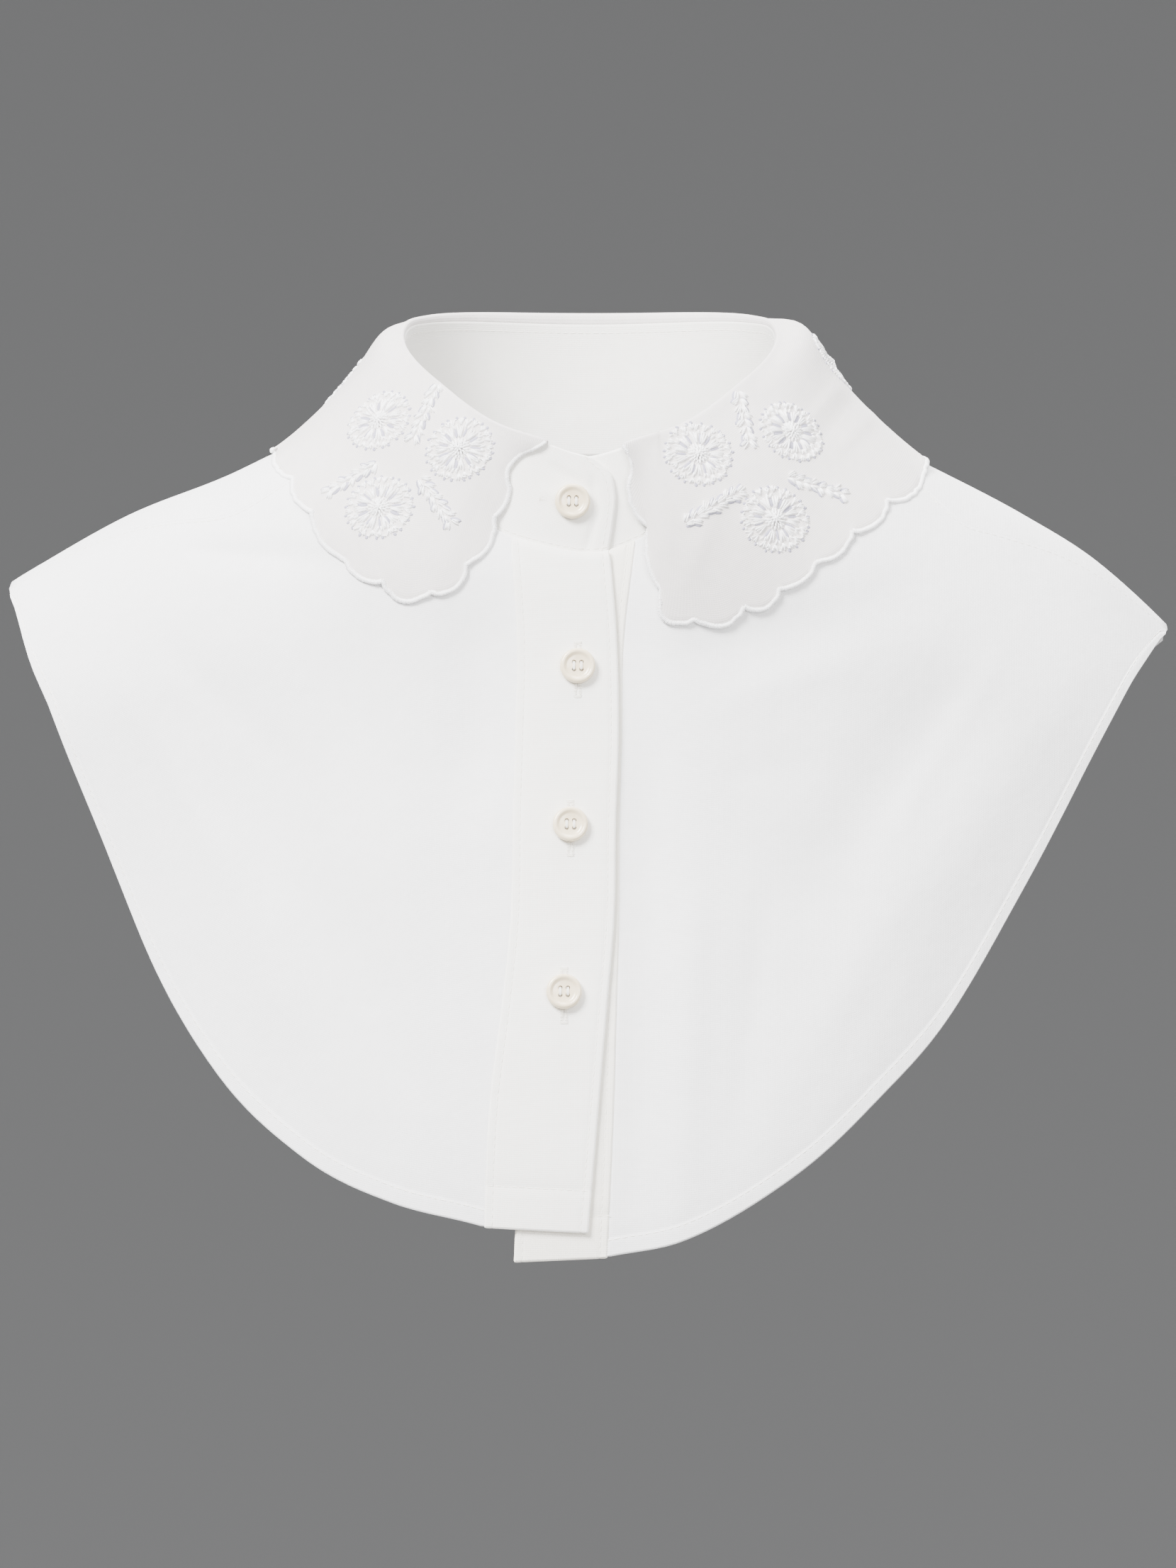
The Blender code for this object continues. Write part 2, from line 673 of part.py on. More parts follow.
def leaf_points():
    """The grid of the collar leaf: each column rises from the stand, rolls over and falls to the edge."""
    edge = leaf_edge()
    front_count = LOBE_STEPS * 3
    side_count = LOBE_STEPS * len(LEFT_LOBES)
    last = len(edge) - 1
    right_count = LOBE_STEPS * 4
    knots = (0, front_count, side_count, last - LOBE_STEPS * len(RIGHT_LOBES), last - right_count, last)
    degrees = smooth_curve(np.column_stack([knots, LEAF_FAN]), np.arange(last + 1))[..., 0]
    lines = []
    for end, angle in zip(edge, degrees):
        ahead = stand_top_point(angle + 1) - stand_top_point(angle - 1)
        out = np.array([ahead[1], -ahead[0], 0.0])
        out = out / np.linalg.norm(out)
        root = stand_top_point(angle) - out * BAND / 2
        swell = 1 + LEAF_SWELL * float(smooth_step(40, 80, min(angle, 360 - angle)))
        roll = [root + (out * aside + np.array([0, 0, up])) * swell for aside, up in LEAF_RISE]
        start = roll[-1]
        fall = end - start
        size = min(1.0, np.linalg.norm(fall) / 40.0)
        bulge = float(smooth_curve(LEAF_BULGE, angle)[0])
        control = start + fall * 0.38 + out * 2 * bulge * size
        fullness = float(smooth_curve(LEAF_CORNERS, angle)[0])
        off_fall = np.array([0, 0, fall @ out]) - out * fall[2]
        off_fall = off_fall / np.linalg.norm(off_fall)
        for step in range(1, LEAF_FALL_ROWS + 1):
            t = step / LEAF_FALL_ROWS
            fallen = start * (1 - t) ** 2 + control * 2 * t * (1 - t) + end * t * t
            fallen = fallen + off_fall * fullness * t / CORNER_AT * math.exp(1 - t / CORNER_AT) * (1 - t)
            if fallen[1] < TOP_CENTRE_Y and fallen[2] < ridge_height(fallen[0]):
                fallen[1] = min(fallen[1], front_cover_y(fallen[0], fallen[2]) - LEAF_CLEAR)
            if abs(fallen[0]) > NECK_HALF_WIDTH + SHOULDER_MARGIN and abs(fallen[1]) < SHOULDER_TOP_DEPTH:
                fallen[2] = max(fallen[2], shoulder_cover(fallen[0], fallen[1]) + LEAF_CLEAR)
            roll.append(fallen)
        lines.append(roll)
    return np.array(lines)


def grid_tree(points):
    """A search tree over a grid of points."""
    count_u, count_v = points.shape[:2]
    faces = [
        (u * count_v + v, (u + 1) * count_v + v, (u + 1) * count_v + v + 1, u * count_v + v + 1)
        for u in range(count_u - 1)
        for v in range(count_v - 1)
    ]
    return BVHTree.FromPolygons(points.reshape(-1, 3).tolist(), faces)


def seat_on(tree, view, across, height):
    """The first place that a level view from one side meets, and the outward normal there."""
    angle = math.radians(view)
    right = Vector((math.cos(angle), math.sin(angle), 0))
    towards = Vector((-math.sin(angle), math.cos(angle), 0))
    start = right * across + Vector((0, 0, height)) - towards * 400
    place, normal, _, _ = tree.ray_cast(start, towards)
    return place, normal if normal.dot(towards) < 0 else normal * -1


def relief_on(tree, place, normal, flat_points, heights):
    """Base and raised points over a surface, for points given in the plane that touches it."""
    side = Vector((0, 0, 1)).cross(normal).normalized()
    up = normal.cross(side)
    base, raised = [], []
    for (a, b), height in zip(flat_points, heights):
        near, found, _, _ = tree.find_nearest(place + side * a + up * b)
        found = found if found.dot(normal) > 0 else found * -1
        base.append(near + found * (LEAF / 2 + STITCH_GAP))
        raised.append(base[-1] + found * height)
    return base, raised


def flower(name, tree, view, across, height, material):
    """One raised rosette: a padded centre, a ring of petals and a knotted rim."""
    place, normal = seat_on(tree, view, across, height)
    sides = 2 * FLOWER_PETALS
    flat, rise = [(0.0, 0.0)], [FLOWER_RELIEF[0][1]]
    for part, on_petal, between in FLOWER_RELIEF[1:]:
        for k in range(sides):
            angle = 2 * math.pi * k / sides
            reach = part * FLOWER_RADIUS * (1.0 if k % 2 == 0 or part < 1 else 0.93)
            flat.append((reach * math.cos(angle), reach * math.sin(angle)))
            rise.append(on_petal if k % 2 == 0 else between)
    base, raised = relief_on(tree, place, normal, flat, rise)
    mesh = bmesh.new()
    top = [mesh.verts.new(p * MM) for p in raised]
    floor_middle = mesh.verts.new(base[0] * MM)
    rim = [mesh.verts.new(p * MM) for p in base[-sides:]]
    middle = [mesh.verts.new(p * MM) for p in base[-2 * sides : -sides]]
    rings = [top[1 + ring * sides : 1 + (ring + 1) * sides] for ring in range(len(FLOWER_RELIEF) - 1)]
    for k in range(sides):
        after = (k + 1) % sides
        mesh.faces.new((top[0], rings[0][k], rings[0][after]))
        for inner, outer in zip(rings, rings[1:]):
            mesh.faces.new((inner[k], outer[k], outer[after], inner[after]))
        mesh.faces.new((rings[-1][k], rim[k], rim[after], rings[-1][after]))
        mesh.faces.new((rim[k], middle[k], middle[after], rim[after]))
        mesh.faces.new((middle[k], floor_middle, middle[after]))
    return mesh_object(name, mesh, material)


def sprig(name, tree, row, material):
    """One raised sprig: a stem that widens at each pair of leaflets."""
    view, from_x, from_z, to_x, to_z = row
    place, normal = seat_on(tree, view, (from_x + to_x) / 2, (from_z + to_z) / 2)
    length = math.hypot(to_x - from_x, to_z - from_z)
    run = Vector(((to_x - from_x) / length, (to_z - from_z) / length))
    stations = 2 * SPRIG_LEAFLETS + 1
    flat, rise = [], []
    for k in range(stations):
        along = (k / (stations - 1) - 0.5) * length
        half = SPRIG_HALF_WIDTH if k % 2 else SPRIG_STEM_HALF_WIDTH
        for side, height in ((-1, 0.35), (0, SPRIG_HEIGHT), (1, 0.35)):
            flat.append((run[0] * along - run[1] * half * side, run[1] * along + run[0] * half * side))
            rise.append(height)
    base, raised = relief_on(tree, place, normal, flat, rise)
    mesh = bmesh.new()
    top = [mesh.verts.new(p * MM) for p in raised]
    low = {k: mesh.verts.new(base[k] * MM) for k in range(len(base)) if k % 3 != 1}
    for k in range(stations - 1):
        a, b = 3 * k, 3 * (k + 1)
        mesh.faces.new((top[a], top[b], top[b + 1], top[a + 1]))
        mesh.faces.new((top[a + 1], top[b + 1], top[b + 2], top[a + 2]))
        mesh.faces.new((low[a], low[a + 2], low[b + 2], low[b]))
        mesh.faces.new((top[a], low[a], low[b], top[b]))
        mesh.faces.new((top[a + 2], top[b + 2], low[b + 2], low[a + 2]))
    end = 3 * (stations - 1)
    mesh.faces.new((top[0], top[1], top[2], low[2], low[0]))
    mesh.faces.new((top[end + 2], top[end + 1], top[end], low[end], low[end + 2]))
    return mesh_object(name, mesh, material)


def turned_mesh(profile, radius, sides):
    """A closed turned shape about +Z from a profile of (part of the radius, height)."""
    mesh = bmesh.new()
    rings = []
    for part, height in profile:
        if part == 0:
            rings.append([mesh.verts.new((0, 0, height * MM))] * sides)
            continue
        reach = part * radius
        angles = [2 * math.pi * k / sides for k in range(sides)]
        spots = [Vector((math.cos(a) * reach, math.sin(a) * reach, height)) for a in angles]
        rings.append([mesh.verts.new(spot * MM) for spot in spots])
    for lower, upper in zip(rings, rings[1:]):
        for k in range(sides):
            after = (k + 1) % sides
            corners = [lower[k], lower[after], upper[after], upper[k]]
            mesh.faces.new(list(dict.fromkeys(corners)))
    bmesh.ops.recalc_face_normals(mesh, faces=mesh.faces)
    return mesh


def button(name, across, height, material):
    """A four-hole button with a raised rim, seated square on the cloth below it."""
    made = mesh_object(name, turned_mesh(BUTTON_PROFILE, BUTTON_RADIUS, BUTTON_SIDES), material)
    tops = [p[1] for p in BUTTON_PROFILE]
    drills = bmesh.new()
    for x in (-BUTTON_HOLE_OFFSET, BUTTON_HOLE_OFFSET):
        for y in (-BUTTON_HOLE_OFFSET, BUTTON_HOLE_OFFSET):
            place = Matrix.Translation((x * MM, y * MM, max(tops) / 2 * MM))
            bmesh.ops.create_cone(
                drills,
                cap_ends=True,
                segments=BUTTON_HOLE_SIDES,
                radius1=BUTTON_HOLE_RADIUS * MM,
                radius2=BUTTON_HOLE_RADIUS * MM,
                depth=2 * max(tops) * MM,
                matrix=place,
            )
    drill = mesh_object(name + "_drill", drills, material)
    drill.hide_render = True
    drill.display_type = "WIRE"
    drill.parent = made
    cut = made.modifiers.new("thread holes", "BOOLEAN")
    cut.operation = "DIFFERENCE"
    cut.solver = "EXACT"
    cut.object = drill
    here = cover_point(across, height)
    beside = cover_point(across + 1, height) - here
    above = cover_point(across, height + 1) - here
    out = beside.cross(above).normalized()
    place = here + out * BUTTON_SEAT
    turn = out.to_track_quat("Z", "Y").to_matrix().to_4x4()
    made.matrix_world = Matrix.Translation(place * MM) @ turn
    return made


def cover_point(x, z):
    """A point on the outer face of the stand or of the buttonhole band."""
    low = neck_seam_point(math.degrees(math.asin(x / NECK_HALF_WIDTH)))
    if z > low[2]:
        return Vector((x, front_cover_y(x, z), z))
    return Vector((x, figure_point(x, turn_at(x, z, -1))[1] - BAND, z))


def clear_scene():
    for old in list(bpy.data.objects):
        bpy.data.objects.remove(old, do_unlink=True)


def main():
    clear_scene()
    poplin = plain_material("white cotton poplin", (0.93, 0.93, 0.92), 0.85)
    back_poplin = plain_material("white cotton poplin back", (0.93, 0.93, 0.92), 0.85)
    band_cloth = plain_material("folded poplin band", (0.94, 0.93, 0.91), 0.85)
    tucked_cloth = plain_material("shaded poplin band", (0.90, 0.88, 0.83), 0.85)
    stand_cloth = plain_material("stiffened poplin stand", (0.93, 0.92, 0.90), 0.85)
    leaf_cloth = plain_material("stiffened poplin leaf", (0.90, 0.89, 0.88), 0.8)
    floss = plain_material("white embroidery floss", (0.94, 0.94, 0.94), 0.5)
    pearl = plain_material("cream pearl button", (0.90, 0.86, 0.79), 0.3)

    front_panel("front_right", RIGHT_SEAM, RIGHT_EDGE, -1, 1, None, poplin)
    front_panel("front_left", LEFT_SEAM, LEFT_EDGE, 1, 3, under_level, poplin)
    back_panel(back_poplin)
    free_edge, showing_edge = opening_edge(2), opening_edge(3)
    band("placket_right", opening_edge(1), free_edge, BUTTONHOLE_BAND_BOTTOM, 0.0, band_cloth)
    band(
        "placket_left",
        lambda heights: showing_edge(heights) - BUTTON_BAND_WIDTH,
        showing_edge,
        BUTTON_BAND_BOTTOM,
        UNDER_DEPTH,
        tucked_cloth,
    )
    stand(stand_cloth)
    leaf = leaf_points()
    half = np.full(leaf.shape[:2], LEAF / 2)
    wall_object("collar_leaf", leaf, half, half, leaf_cloth, grid_normals(leaf))
    tree = grid_tree(leaf)
    for number, (view, across, height) in enumerate(FLOWERS, 1):
        flower(f"flower_{number}", tree, view, across, height, floss)
    for number, row in enumerate(SPRIGS, 1):
        sprig(f"sprig_{number}", tree, row, floss)
    for number, (across, height) in enumerate(BUTTONS, 1):
        button(f"button_{number}", across, height, pearl)


main()
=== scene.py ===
# %% [markdown]
# # A detachable embroidered shirt collar
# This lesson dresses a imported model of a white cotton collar: two bib fronts, a back, a buttoned
# opening, a stand and a turned-down leaf with raised flowers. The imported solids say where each
# piece is. The pieces below are finer ones on the same form, made from the same sizes: sheets of
# cloth, threads and buttons. They take the place of the solids.

import math

import bmesh
import bpy
import numpy as np
from mathutils import Matrix, Vector
from mathutils.bvhtree import BVHTree


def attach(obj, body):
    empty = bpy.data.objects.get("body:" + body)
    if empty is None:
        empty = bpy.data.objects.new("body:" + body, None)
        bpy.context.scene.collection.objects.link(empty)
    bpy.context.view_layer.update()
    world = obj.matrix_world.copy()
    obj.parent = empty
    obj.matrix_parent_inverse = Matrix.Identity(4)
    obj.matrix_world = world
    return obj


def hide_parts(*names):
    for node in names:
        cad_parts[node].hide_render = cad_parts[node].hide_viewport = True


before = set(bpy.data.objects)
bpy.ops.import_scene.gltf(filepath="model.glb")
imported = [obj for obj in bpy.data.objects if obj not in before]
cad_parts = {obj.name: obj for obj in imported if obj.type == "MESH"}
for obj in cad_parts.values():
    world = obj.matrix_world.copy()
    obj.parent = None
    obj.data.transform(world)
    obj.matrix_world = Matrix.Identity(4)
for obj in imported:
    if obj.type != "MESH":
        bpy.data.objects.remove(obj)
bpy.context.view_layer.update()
MM = 0.001
print("solids in the frame:", len(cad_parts))

# %% [markdown]
# ## The figure that fills the cloth
# A worn collar takes its form from neck, shoulders and chest. A maker pins the cloth on a dress
# form, and this lesson does the same with numbers: a ridge along the shoulders, a rounded front
# and back that fall from it, and a ring for the neck seam. All sizes are in millimetres. The folds
# are soft troughs and ridges along lines, so that every piece that crosses one follows it.

# %% Sizes of the figure
# The shoulder ridge as (across, height)
SHOULDER_LINE = (
    (-200, -36), (-189, -27.8), (-176, -19.9), (-151, -6), (-118, 7.2), (-95, 17.8), (-68, 25), (0, 31),
    (68, 25), (95, 18), (113, 9.2), (142, -6), (164, -19.8), (180, -33.6), (188, -41.4), (200, -54),
)
SHOULDER_REACH, RIDGE_FORWARD = 185.0, 6.0
FRONT_DEPTH, FRONT_DEPTH_LOSS, FRONT_ROUND = 52.0, 12.0, 66.0
CHEST_RISE, CHEST_HEIGHT, CHEST_HALF_WIDTH = 46.0, 300.0, 260.0
BACK_DEPTH, BACK_DEPTH_LOSS, BACK_ROUND = 74.0, 28.0, 52.0
BLADE_RISE, BLADE_HEIGHT = 12.0, 170.0
# Millimetres that a unit of turn stands for where lengths on the cloth are compared
SECTION_ARC = 90.0
# Folds as (from across, from height, to across, to height, half width, rise). The first eight and
# the first four are the large ones that the solids have too, and the rest are small creases
FRONT_FOLDS = (
    (-38, -34, -35, -100, 11, -2.4), (-98, -34, -62, -140, 20, 2.2), (-132, -17, -80, -21, 5, -1.1),
    (-120, -120, -70, -200, 16, 1.6), (30, -50, 100, -34, 11, -2), (150, -62, 58, -205, 17, 2.4),
    (118, -60, 70, -130, 14, -1.8), (22, -70, 17, -215, 9, -1.6), (-127, -17.5, -82, -20.5, 1.8, -0.5),
    (-150, -60, -112, -128, 6, 0.7), (-140, -44, -92, -92, 5, -0.5), (-84, -120, -52, -196, 6, -0.6),
    (-60, -150, -47, -216, 4.5, 0.5), (44, -66, 84, -52, 4.5, 0.6), (42, -92, 78, -84, 5, -0.5),
    (132, -52, 92, -116, 4.5, 0.6), (34, -120, 31, -214, 5, 0.7), (56, -132, 46, -208, 5, -0.6),
    (108, -132, 74, -186, 6, -0.6),
)
BACK_FOLDS = (
    (-120, -30, -50, -170, 18, 2.4), (-60, -20, -30, -120, 13, -1.8), (116, -36, 62, -160, 18, 2.2),
    (20, -40, 34, -190, 14, -1.8), (-146, -52, -96, -120, 6, -0.6), (-92, -96, -66, -182, 6, 0.7),
    (-16, -60, -10, -196, 7, 0.8), (52, -64, 46, -188, 6, 0.6), (92, -70, 70, -176, 6, -0.6),
    (144, -58, 104, -128, 6, 0.6),
)
print("folds:", len(FRONT_FOLDS), "in front,", len(BACK_FOLDS), "behind")


# %% Smooth lines through tables
def smooth_curve(table, at):
    """Values of a smooth curve through the rows of a table, whose first column rises."""
    rows = np.array(table, float)
    keys = rows[:, 0]
    slopes = np.gradient(rows[:, 1:], keys, axis=0)
    at = np.clip(np.asarray(at, float), keys[0], keys[-1])
    row = np.clip(np.searchsorted(keys, at, side="right") - 1, 0, len(keys) - 2)
    span = keys[row + 1] - keys[row]
    t = ((at - keys[row]) / span)[..., None]
    span = span[..., None]
    low, high = rows[row, 1:], rows[row + 1, 1:]
    return (
        low * (1 + 2 * t) * (1 - t) ** 2
        + slopes[row] * span * t * (1 - t) ** 2
        + high * t * t * (3 - 2 * t)
        + slopes[row + 1] * span * t * t * (t - 1)
    )


def along_points(points, parts):
    """Places at the given parts of the length of a smooth line through points."""
    points = np.array(points, float)
    steps = np.linalg.norm(np.diff(points, axis=0), axis=1)
    lengths = np.concatenate([[0.0], np.cumsum(steps)])
    return smooth_curve(np.column_stack([lengths / lengths[-1], points]), parts)


def smooth_step(low, high, value):
    """Rises smoothly from 0 at low to 1 at high."""
    t = np.clip((np.asarray(value, float) - low) / (high - low), 0, 1)
    return t * t * (3 - 2 * t)


print("a step half way up:", smooth_step(0, 1, 0.5))


# %% The ridge and the folds
def ridge_height(x):
    """Height of the shoulder ridge."""
    return smooth_curve(SHOULDER_LINE, x)[..., 0]


def fold_relief(x, z, folds):
    """How far the soft folds stand out at a place seen square on."""
    total = np.zeros(np.broadcast(x, z).shape)
    for from_x, from_z, to_x, to_z, half_width, rise in folds:
        run_x, run_z = to_x - from_x, to_z - from_z
        along = ((x - from_x) * run_x + (z - from_z) * run_z) / (run_x**2 + run_z**2)
        aside = ((x - from_x) * run_z - (z - from_z) * run_x) / math.hypot(run_x, run_z)
        fade = smooth_step(-0.25, 0.3, along) * smooth_step(1.25, 0.7, along)
        total = total + rise * fade * np.exp(-((aside / half_width) ** 2))
    return total


print("the first fold at its middle:", fold_relief(-36.5, -67.0, FRONT_FOLDS).round(2), "mm")


# %% Points of the figure
def figure_point(x, turn):
    """A point of the figure: turn is 0 on the shoulder ridge, -1 where the front hangs, 1 behind."""
    x, turn = np.broadcast_arrays(np.asarray(x, float), np.asarray(turn, float))
    front = turn < 0
    size = np.abs(turn)
    angle = np.minimum(size, 1) * math.pi / 2
    rounding = np.where(front, FRONT_ROUND, BACK_ROUND)
    out = (x / SHOULDER_REACH) ** 2
    depth = np.where(front, FRONT_DEPTH - FRONT_DEPTH_LOSS * out, BACK_DEPTH - BACK_DEPTH_LOSS * out)
    drop = rounding * (1 - np.cos(angle)) + rounding * math.pi / 2 * np.maximum(size - 1, 0)
    z = ridge_height(x) - drop
    rise = np.where(front, CHEST_RISE * (1 - (x / CHEST_HALF_WIDTH) ** 2), BLADE_RISE)
    fall = np.clip(drop / np.where(front, CHEST_HEIGHT, BLADE_HEIGHT), 0, 1)
    reach = depth * np.sin(angle) + rise * (1 - np.cos(math.pi * fall)) / 2
    relief = np.where(front, fold_relief(x, z, FRONT_FOLDS), fold_relief(x, z, BACK_FOLDS))
    reach = reach + relief * smooth_step(0, 0.5, size)
    y = RIDGE_FORWARD * (out - 1) + np.where(front, -reach, reach)
    return np.stack([x, y, z], axis=-1)


def turn_at(x, z, side):
    """The turn of figure_point that gives a height, on the front (side -1) or the back (side 1)."""
    rounding = FRONT_ROUND if side < 0 else BACK_ROUND
    drop = np.maximum(ridge_height(x) - np.asarray(z, float), 0) / rounding
    rounded = np.arccos(np.clip(1 - drop, 0, 1)) / (math.pi / 2)
    return side * np.where(drop < 1, rounded, 1 + (drop - 1) / (math.pi / 2))


print("chest point:", figure_point(60.0, -1.2).round(1))


# %% Directions on the figure
def unit(vectors):
    """Directions of length 1."""
    return vectors / np.linalg.norm(vectors, axis=-1, keepdims=True)


def figure_normals(x, turn):
    """Unit outward normals of the figure."""
    across = figure_point(x + 0.5, turn) - figure_point(x - 0.5, turn)
    onward = figure_point(x, turn + 0.005) - figure_point(x, turn - 0.005)
    return unit(np.cross(across, onward))


def grid_normals(points):
    """Unit normals of a grid of points, from its own lines."""
    return unit(np.cross(np.gradient(points, axis=0), np.gradient(points, axis=1)))


print("the chest faces:", figure_normals(60.0, -1.2).round(2))

# %% [markdown]
# ## Sheets of cloth
# A real panel is one layer of poplin about 0.2 mm thick, turned twice at its hem. A single plane
# would have no edge to catch the light, so each piece is a closed shell: an outer face, an inner
# face and a rounded fold between them. Its UV map is laid out in metres along the cloth, so that
# the weave follows the folds as real threads do.

# %% A closed shell on a grid of points
# The outer points, inner points and normals of each sheet, for the stitches that follow it
SHEETS = {}


def add_object(name, data):
    """A new object in the scene, at the origin and unturned."""
    made = bpy.data.objects.new(name, data)
    bpy.context.scene.collection.objects.link(made)
    return made


def arc_map(points):
    """The UV map of a grid: metres along its lines from the middle of its first one."""
    runs = []
    for axis in (0, 1):
        steps = np.linalg.norm(np.diff(points, axis=axis), axis=-1)
        lengths = np.cumsum(np.insert(steps, 0, 0.0, axis=axis), axis=axis)
        runs.append(lengths.mean(axis=1 - axis, keepdims=True) + np.zeros(points.shape[:2]))
    return np.stack(runs, axis=-1) * MM


def cloth_shell(name, points, normals, outer, inner, uv, material):
    """A closed sheet on a grid of points, with faces at two distances along the normals."""
    outer = np.broadcast_to(outer, points.shape[:2])
    inner = np.broadcast_to(inner, points.shape[:2])
    top = points + normals * outer[..., None]
    low = points + normals * inner[..., None]
    count_u, count_v = points.shape[:2]
    index = np.arange(count_u * count_v).reshape(count_u, count_v)
    faces = np.stack([index[:-1, :-1], index[1:, :-1], index[1:, 1:], index[:-1, 1:]], -1).reshape(-1, 4)
    rim = np.concatenate([index[:, 0], index[-1, 1:], index[-2::-1, -1], index[0, -2:0:-1]])
    near_u = np.clip(rim // count_v, 1, count_u - 2)
    near_v = np.clip(rim % count_v, 1, count_v - 2)
    flat_top, flat_low = top.reshape(-1, 3), low.reshape(-1, 3)
    away = unit(points.reshape(-1, 3)[rim] - points[near_u, near_v])
    half = (outer - inner).reshape(-1)[rim, None] / 2
    fold = (flat_top[rim] + flat_low[rim]) / 2 + away * half
    count = count_u * count_v
    here = np.arange(len(rim))
    after = np.roll(here, -1)
    walls = [
        np.stack([rim[after], rim[here], 2 * count + here, 2 * count + after], -1),
        np.stack([2 * count + after, 2 * count + here, count + rim[here], count + rim[after]], -1),
    ]
    faces = np.concatenate([faces, faces[:, ::-1] + count, *walls])
    if np.sum(grid_normals(points) * normals) < 0:
        faces = faces[:, ::-1]
    mesh = bpy.data.meshes.new(name)
    mesh.from_pydata((np.concatenate([flat_top, flat_low, fold]) * MM).tolist(), [], faces.tolist())
    flat_uv = np.concatenate([uv.reshape(-1, 2)] * 2 + [uv.reshape(-1, 2)[rim]])
    layer = mesh.uv_layers.new(name="cloth")
    layer.data.foreach_set("uv", flat_uv[faces.reshape(-1)].reshape(-1))
    mesh.materials.append(material)
    mesh.shade_smooth()
    mesh.set_sharp_from_angle(angle=math.radians(50))
    SHEETS[name] = (top, low, normals)
    print(name, len(mesh.polygons), "faces")
    return add_object(name, mesh)


def mount_piece(piece, nodes):
    """Lets a piece ride on the collar's one body and stand for its solids."""
    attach(piece, "root")
    if nodes:
        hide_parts(*nodes)


# %% [markdown]
# ## Finishes
# Poplin is a plain weave of fine combed cotton: matt, with a soft sheen at grazing angles and
# threads about 0.2 mm apart. That is finer than a picture of the whole collar can show, so the
# weave is drawn at 0.55 mm. Cloth is never quite even: it has slubs, and faint crumples from
# washing. Embroidery floss is smoother than cloth and shines along its threads. The buttons are
# cream mother-of-pearl shell: glossy, with a cloudy depth.

# %% Colours and nodes
def hex_colour(text):
    """A linear colour from an sRGB hex value."""
    parts = [int(text[k : k + 2], 16) / 255 for k in (1, 3, 5)]
    linear = [p / 12.92 if p <= 0.04045 else ((p + 0.055) / 1.055) ** 2.4 for p in parts]
    return (*linear, 1.0)


def add_node(tree, kind, values=None, links=None, **settings):
    """Adds one node with its settings, socket values and incoming links."""
    node = tree.nodes.new(kind)
    for key, value in settings.items():
        setattr(node, key, value)
    for key, value in (values or {}).items():
        node.inputs[key].default_value = value
    for key, source in (links or {}).items():
        tree.links.new(source, node.inputs[key])
    return node


def new_material(name, **values):
    """A material with a Principled shader, and its tree and shader."""
    material = bpy.data.materials.new(name)
    material.use_nodes = True
    tree = material.node_tree
    shader = tree.nodes["Principled BSDF"]
    for key, value in values.items():
        shader.inputs[key.replace("_", " ")].default_value = value
    return material, tree, shader


print("#808080 is", round(hex_colour("#808080")[0], 3), "in linear light")

# %% Woven cotton
# The distance from one drawn thread to the next, in metres
WEAVE = 0.00055


def woven_cotton(name, colour, shade, roughness, weave_depth, crumple_depth):
    """Plain-woven cotton: threads along the UV map, slubs in the colour and soft crumples."""
    material, tree, shader = new_material(
        name, Roughness=roughness, IOR=1.5, Sheen_Weight=0.25, Sheen_Roughness=0.5,
        Specular_IOR_Level=0.3,
    )
    cloth = add_node(tree, "ShaderNodeUVMap", uv_map="cloth")
    place = add_node(tree, "ShaderNodeTexCoord")
    # A wave texture repeats every 2 pi / 20 of its own length
    bands = 2 * math.pi / 20 / WEAVE
    threads = [
        add_node(
            tree,
            "ShaderNodeTexWave",
            {"Scale": bands, "Distortion": 0.6, "Detail": 1.0, "Detail Scale": 0.4},
            {"Vector": cloth.outputs["UV"]},
            wave_type="BANDS",
            bands_direction=way,
        )
        for way in ("X", "Y")
    ]
    weave = add_node(
        tree, "ShaderNodeMath", links={0: threads[0].outputs["Fac"], 1: threads[1].outputs["Fac"]},
        operation="MULTIPLY",
    )
    slubs = add_node(
        tree, "ShaderNodeTexNoise", {"Scale": 260.0, "Detail": 3.0}, {"Vector": cloth.outputs["UV"]},
    )
    patches = add_node(
        tree, "ShaderNodeTexNoise", {"Scale": 22.0, "Detail": 2.0}, {"Vector": place.outputs["Object"]},
    )
    mottle = add_node(
        tree, "ShaderNodeMath", {1: 0.5}, {0: slubs.outputs["Fac"], 2: patches.outputs["Fac"]},
        operation="MULTIPLY_ADD",
    )
    tint = add_node(
        tree, "ShaderNodeMapRange", {"From Min": 0.45, "From Max": 1.05}, {"Value": mottle.outputs[0]},
    )
    colours = add_node(
        tree, "ShaderNodeMix", {6: hex_colour(shade), 7: hex_colour(colour)}, {0: tint.outputs[0]},
        data_type="RGBA",
    )
    tree.links.new(colours.outputs[2], shader.inputs["Base Color"])
    crumple = add_node(
        tree, "ShaderNodeTexNoise", {"Scale": 60.0, "Detail": 3.0, "Roughness": 0.55},
        {"Vector": place.outputs["Object"]},
    )
    soft = add_node(
        tree, "ShaderNodeBump", {"Strength": 1.0, "Distance": crumple_depth},
        {"Height": crumple.outputs["Fac"]},
    )
    fine = add_node(
        tree, "ShaderNodeBump", {"Strength": 1.0, "Distance": weave_depth},
        {"Height": weave.outputs[0], "Normal": soft.outputs["Normal"]},
    )
    tree.links.new(fine.outputs["Normal"], shader.inputs["Normal"])
    return material


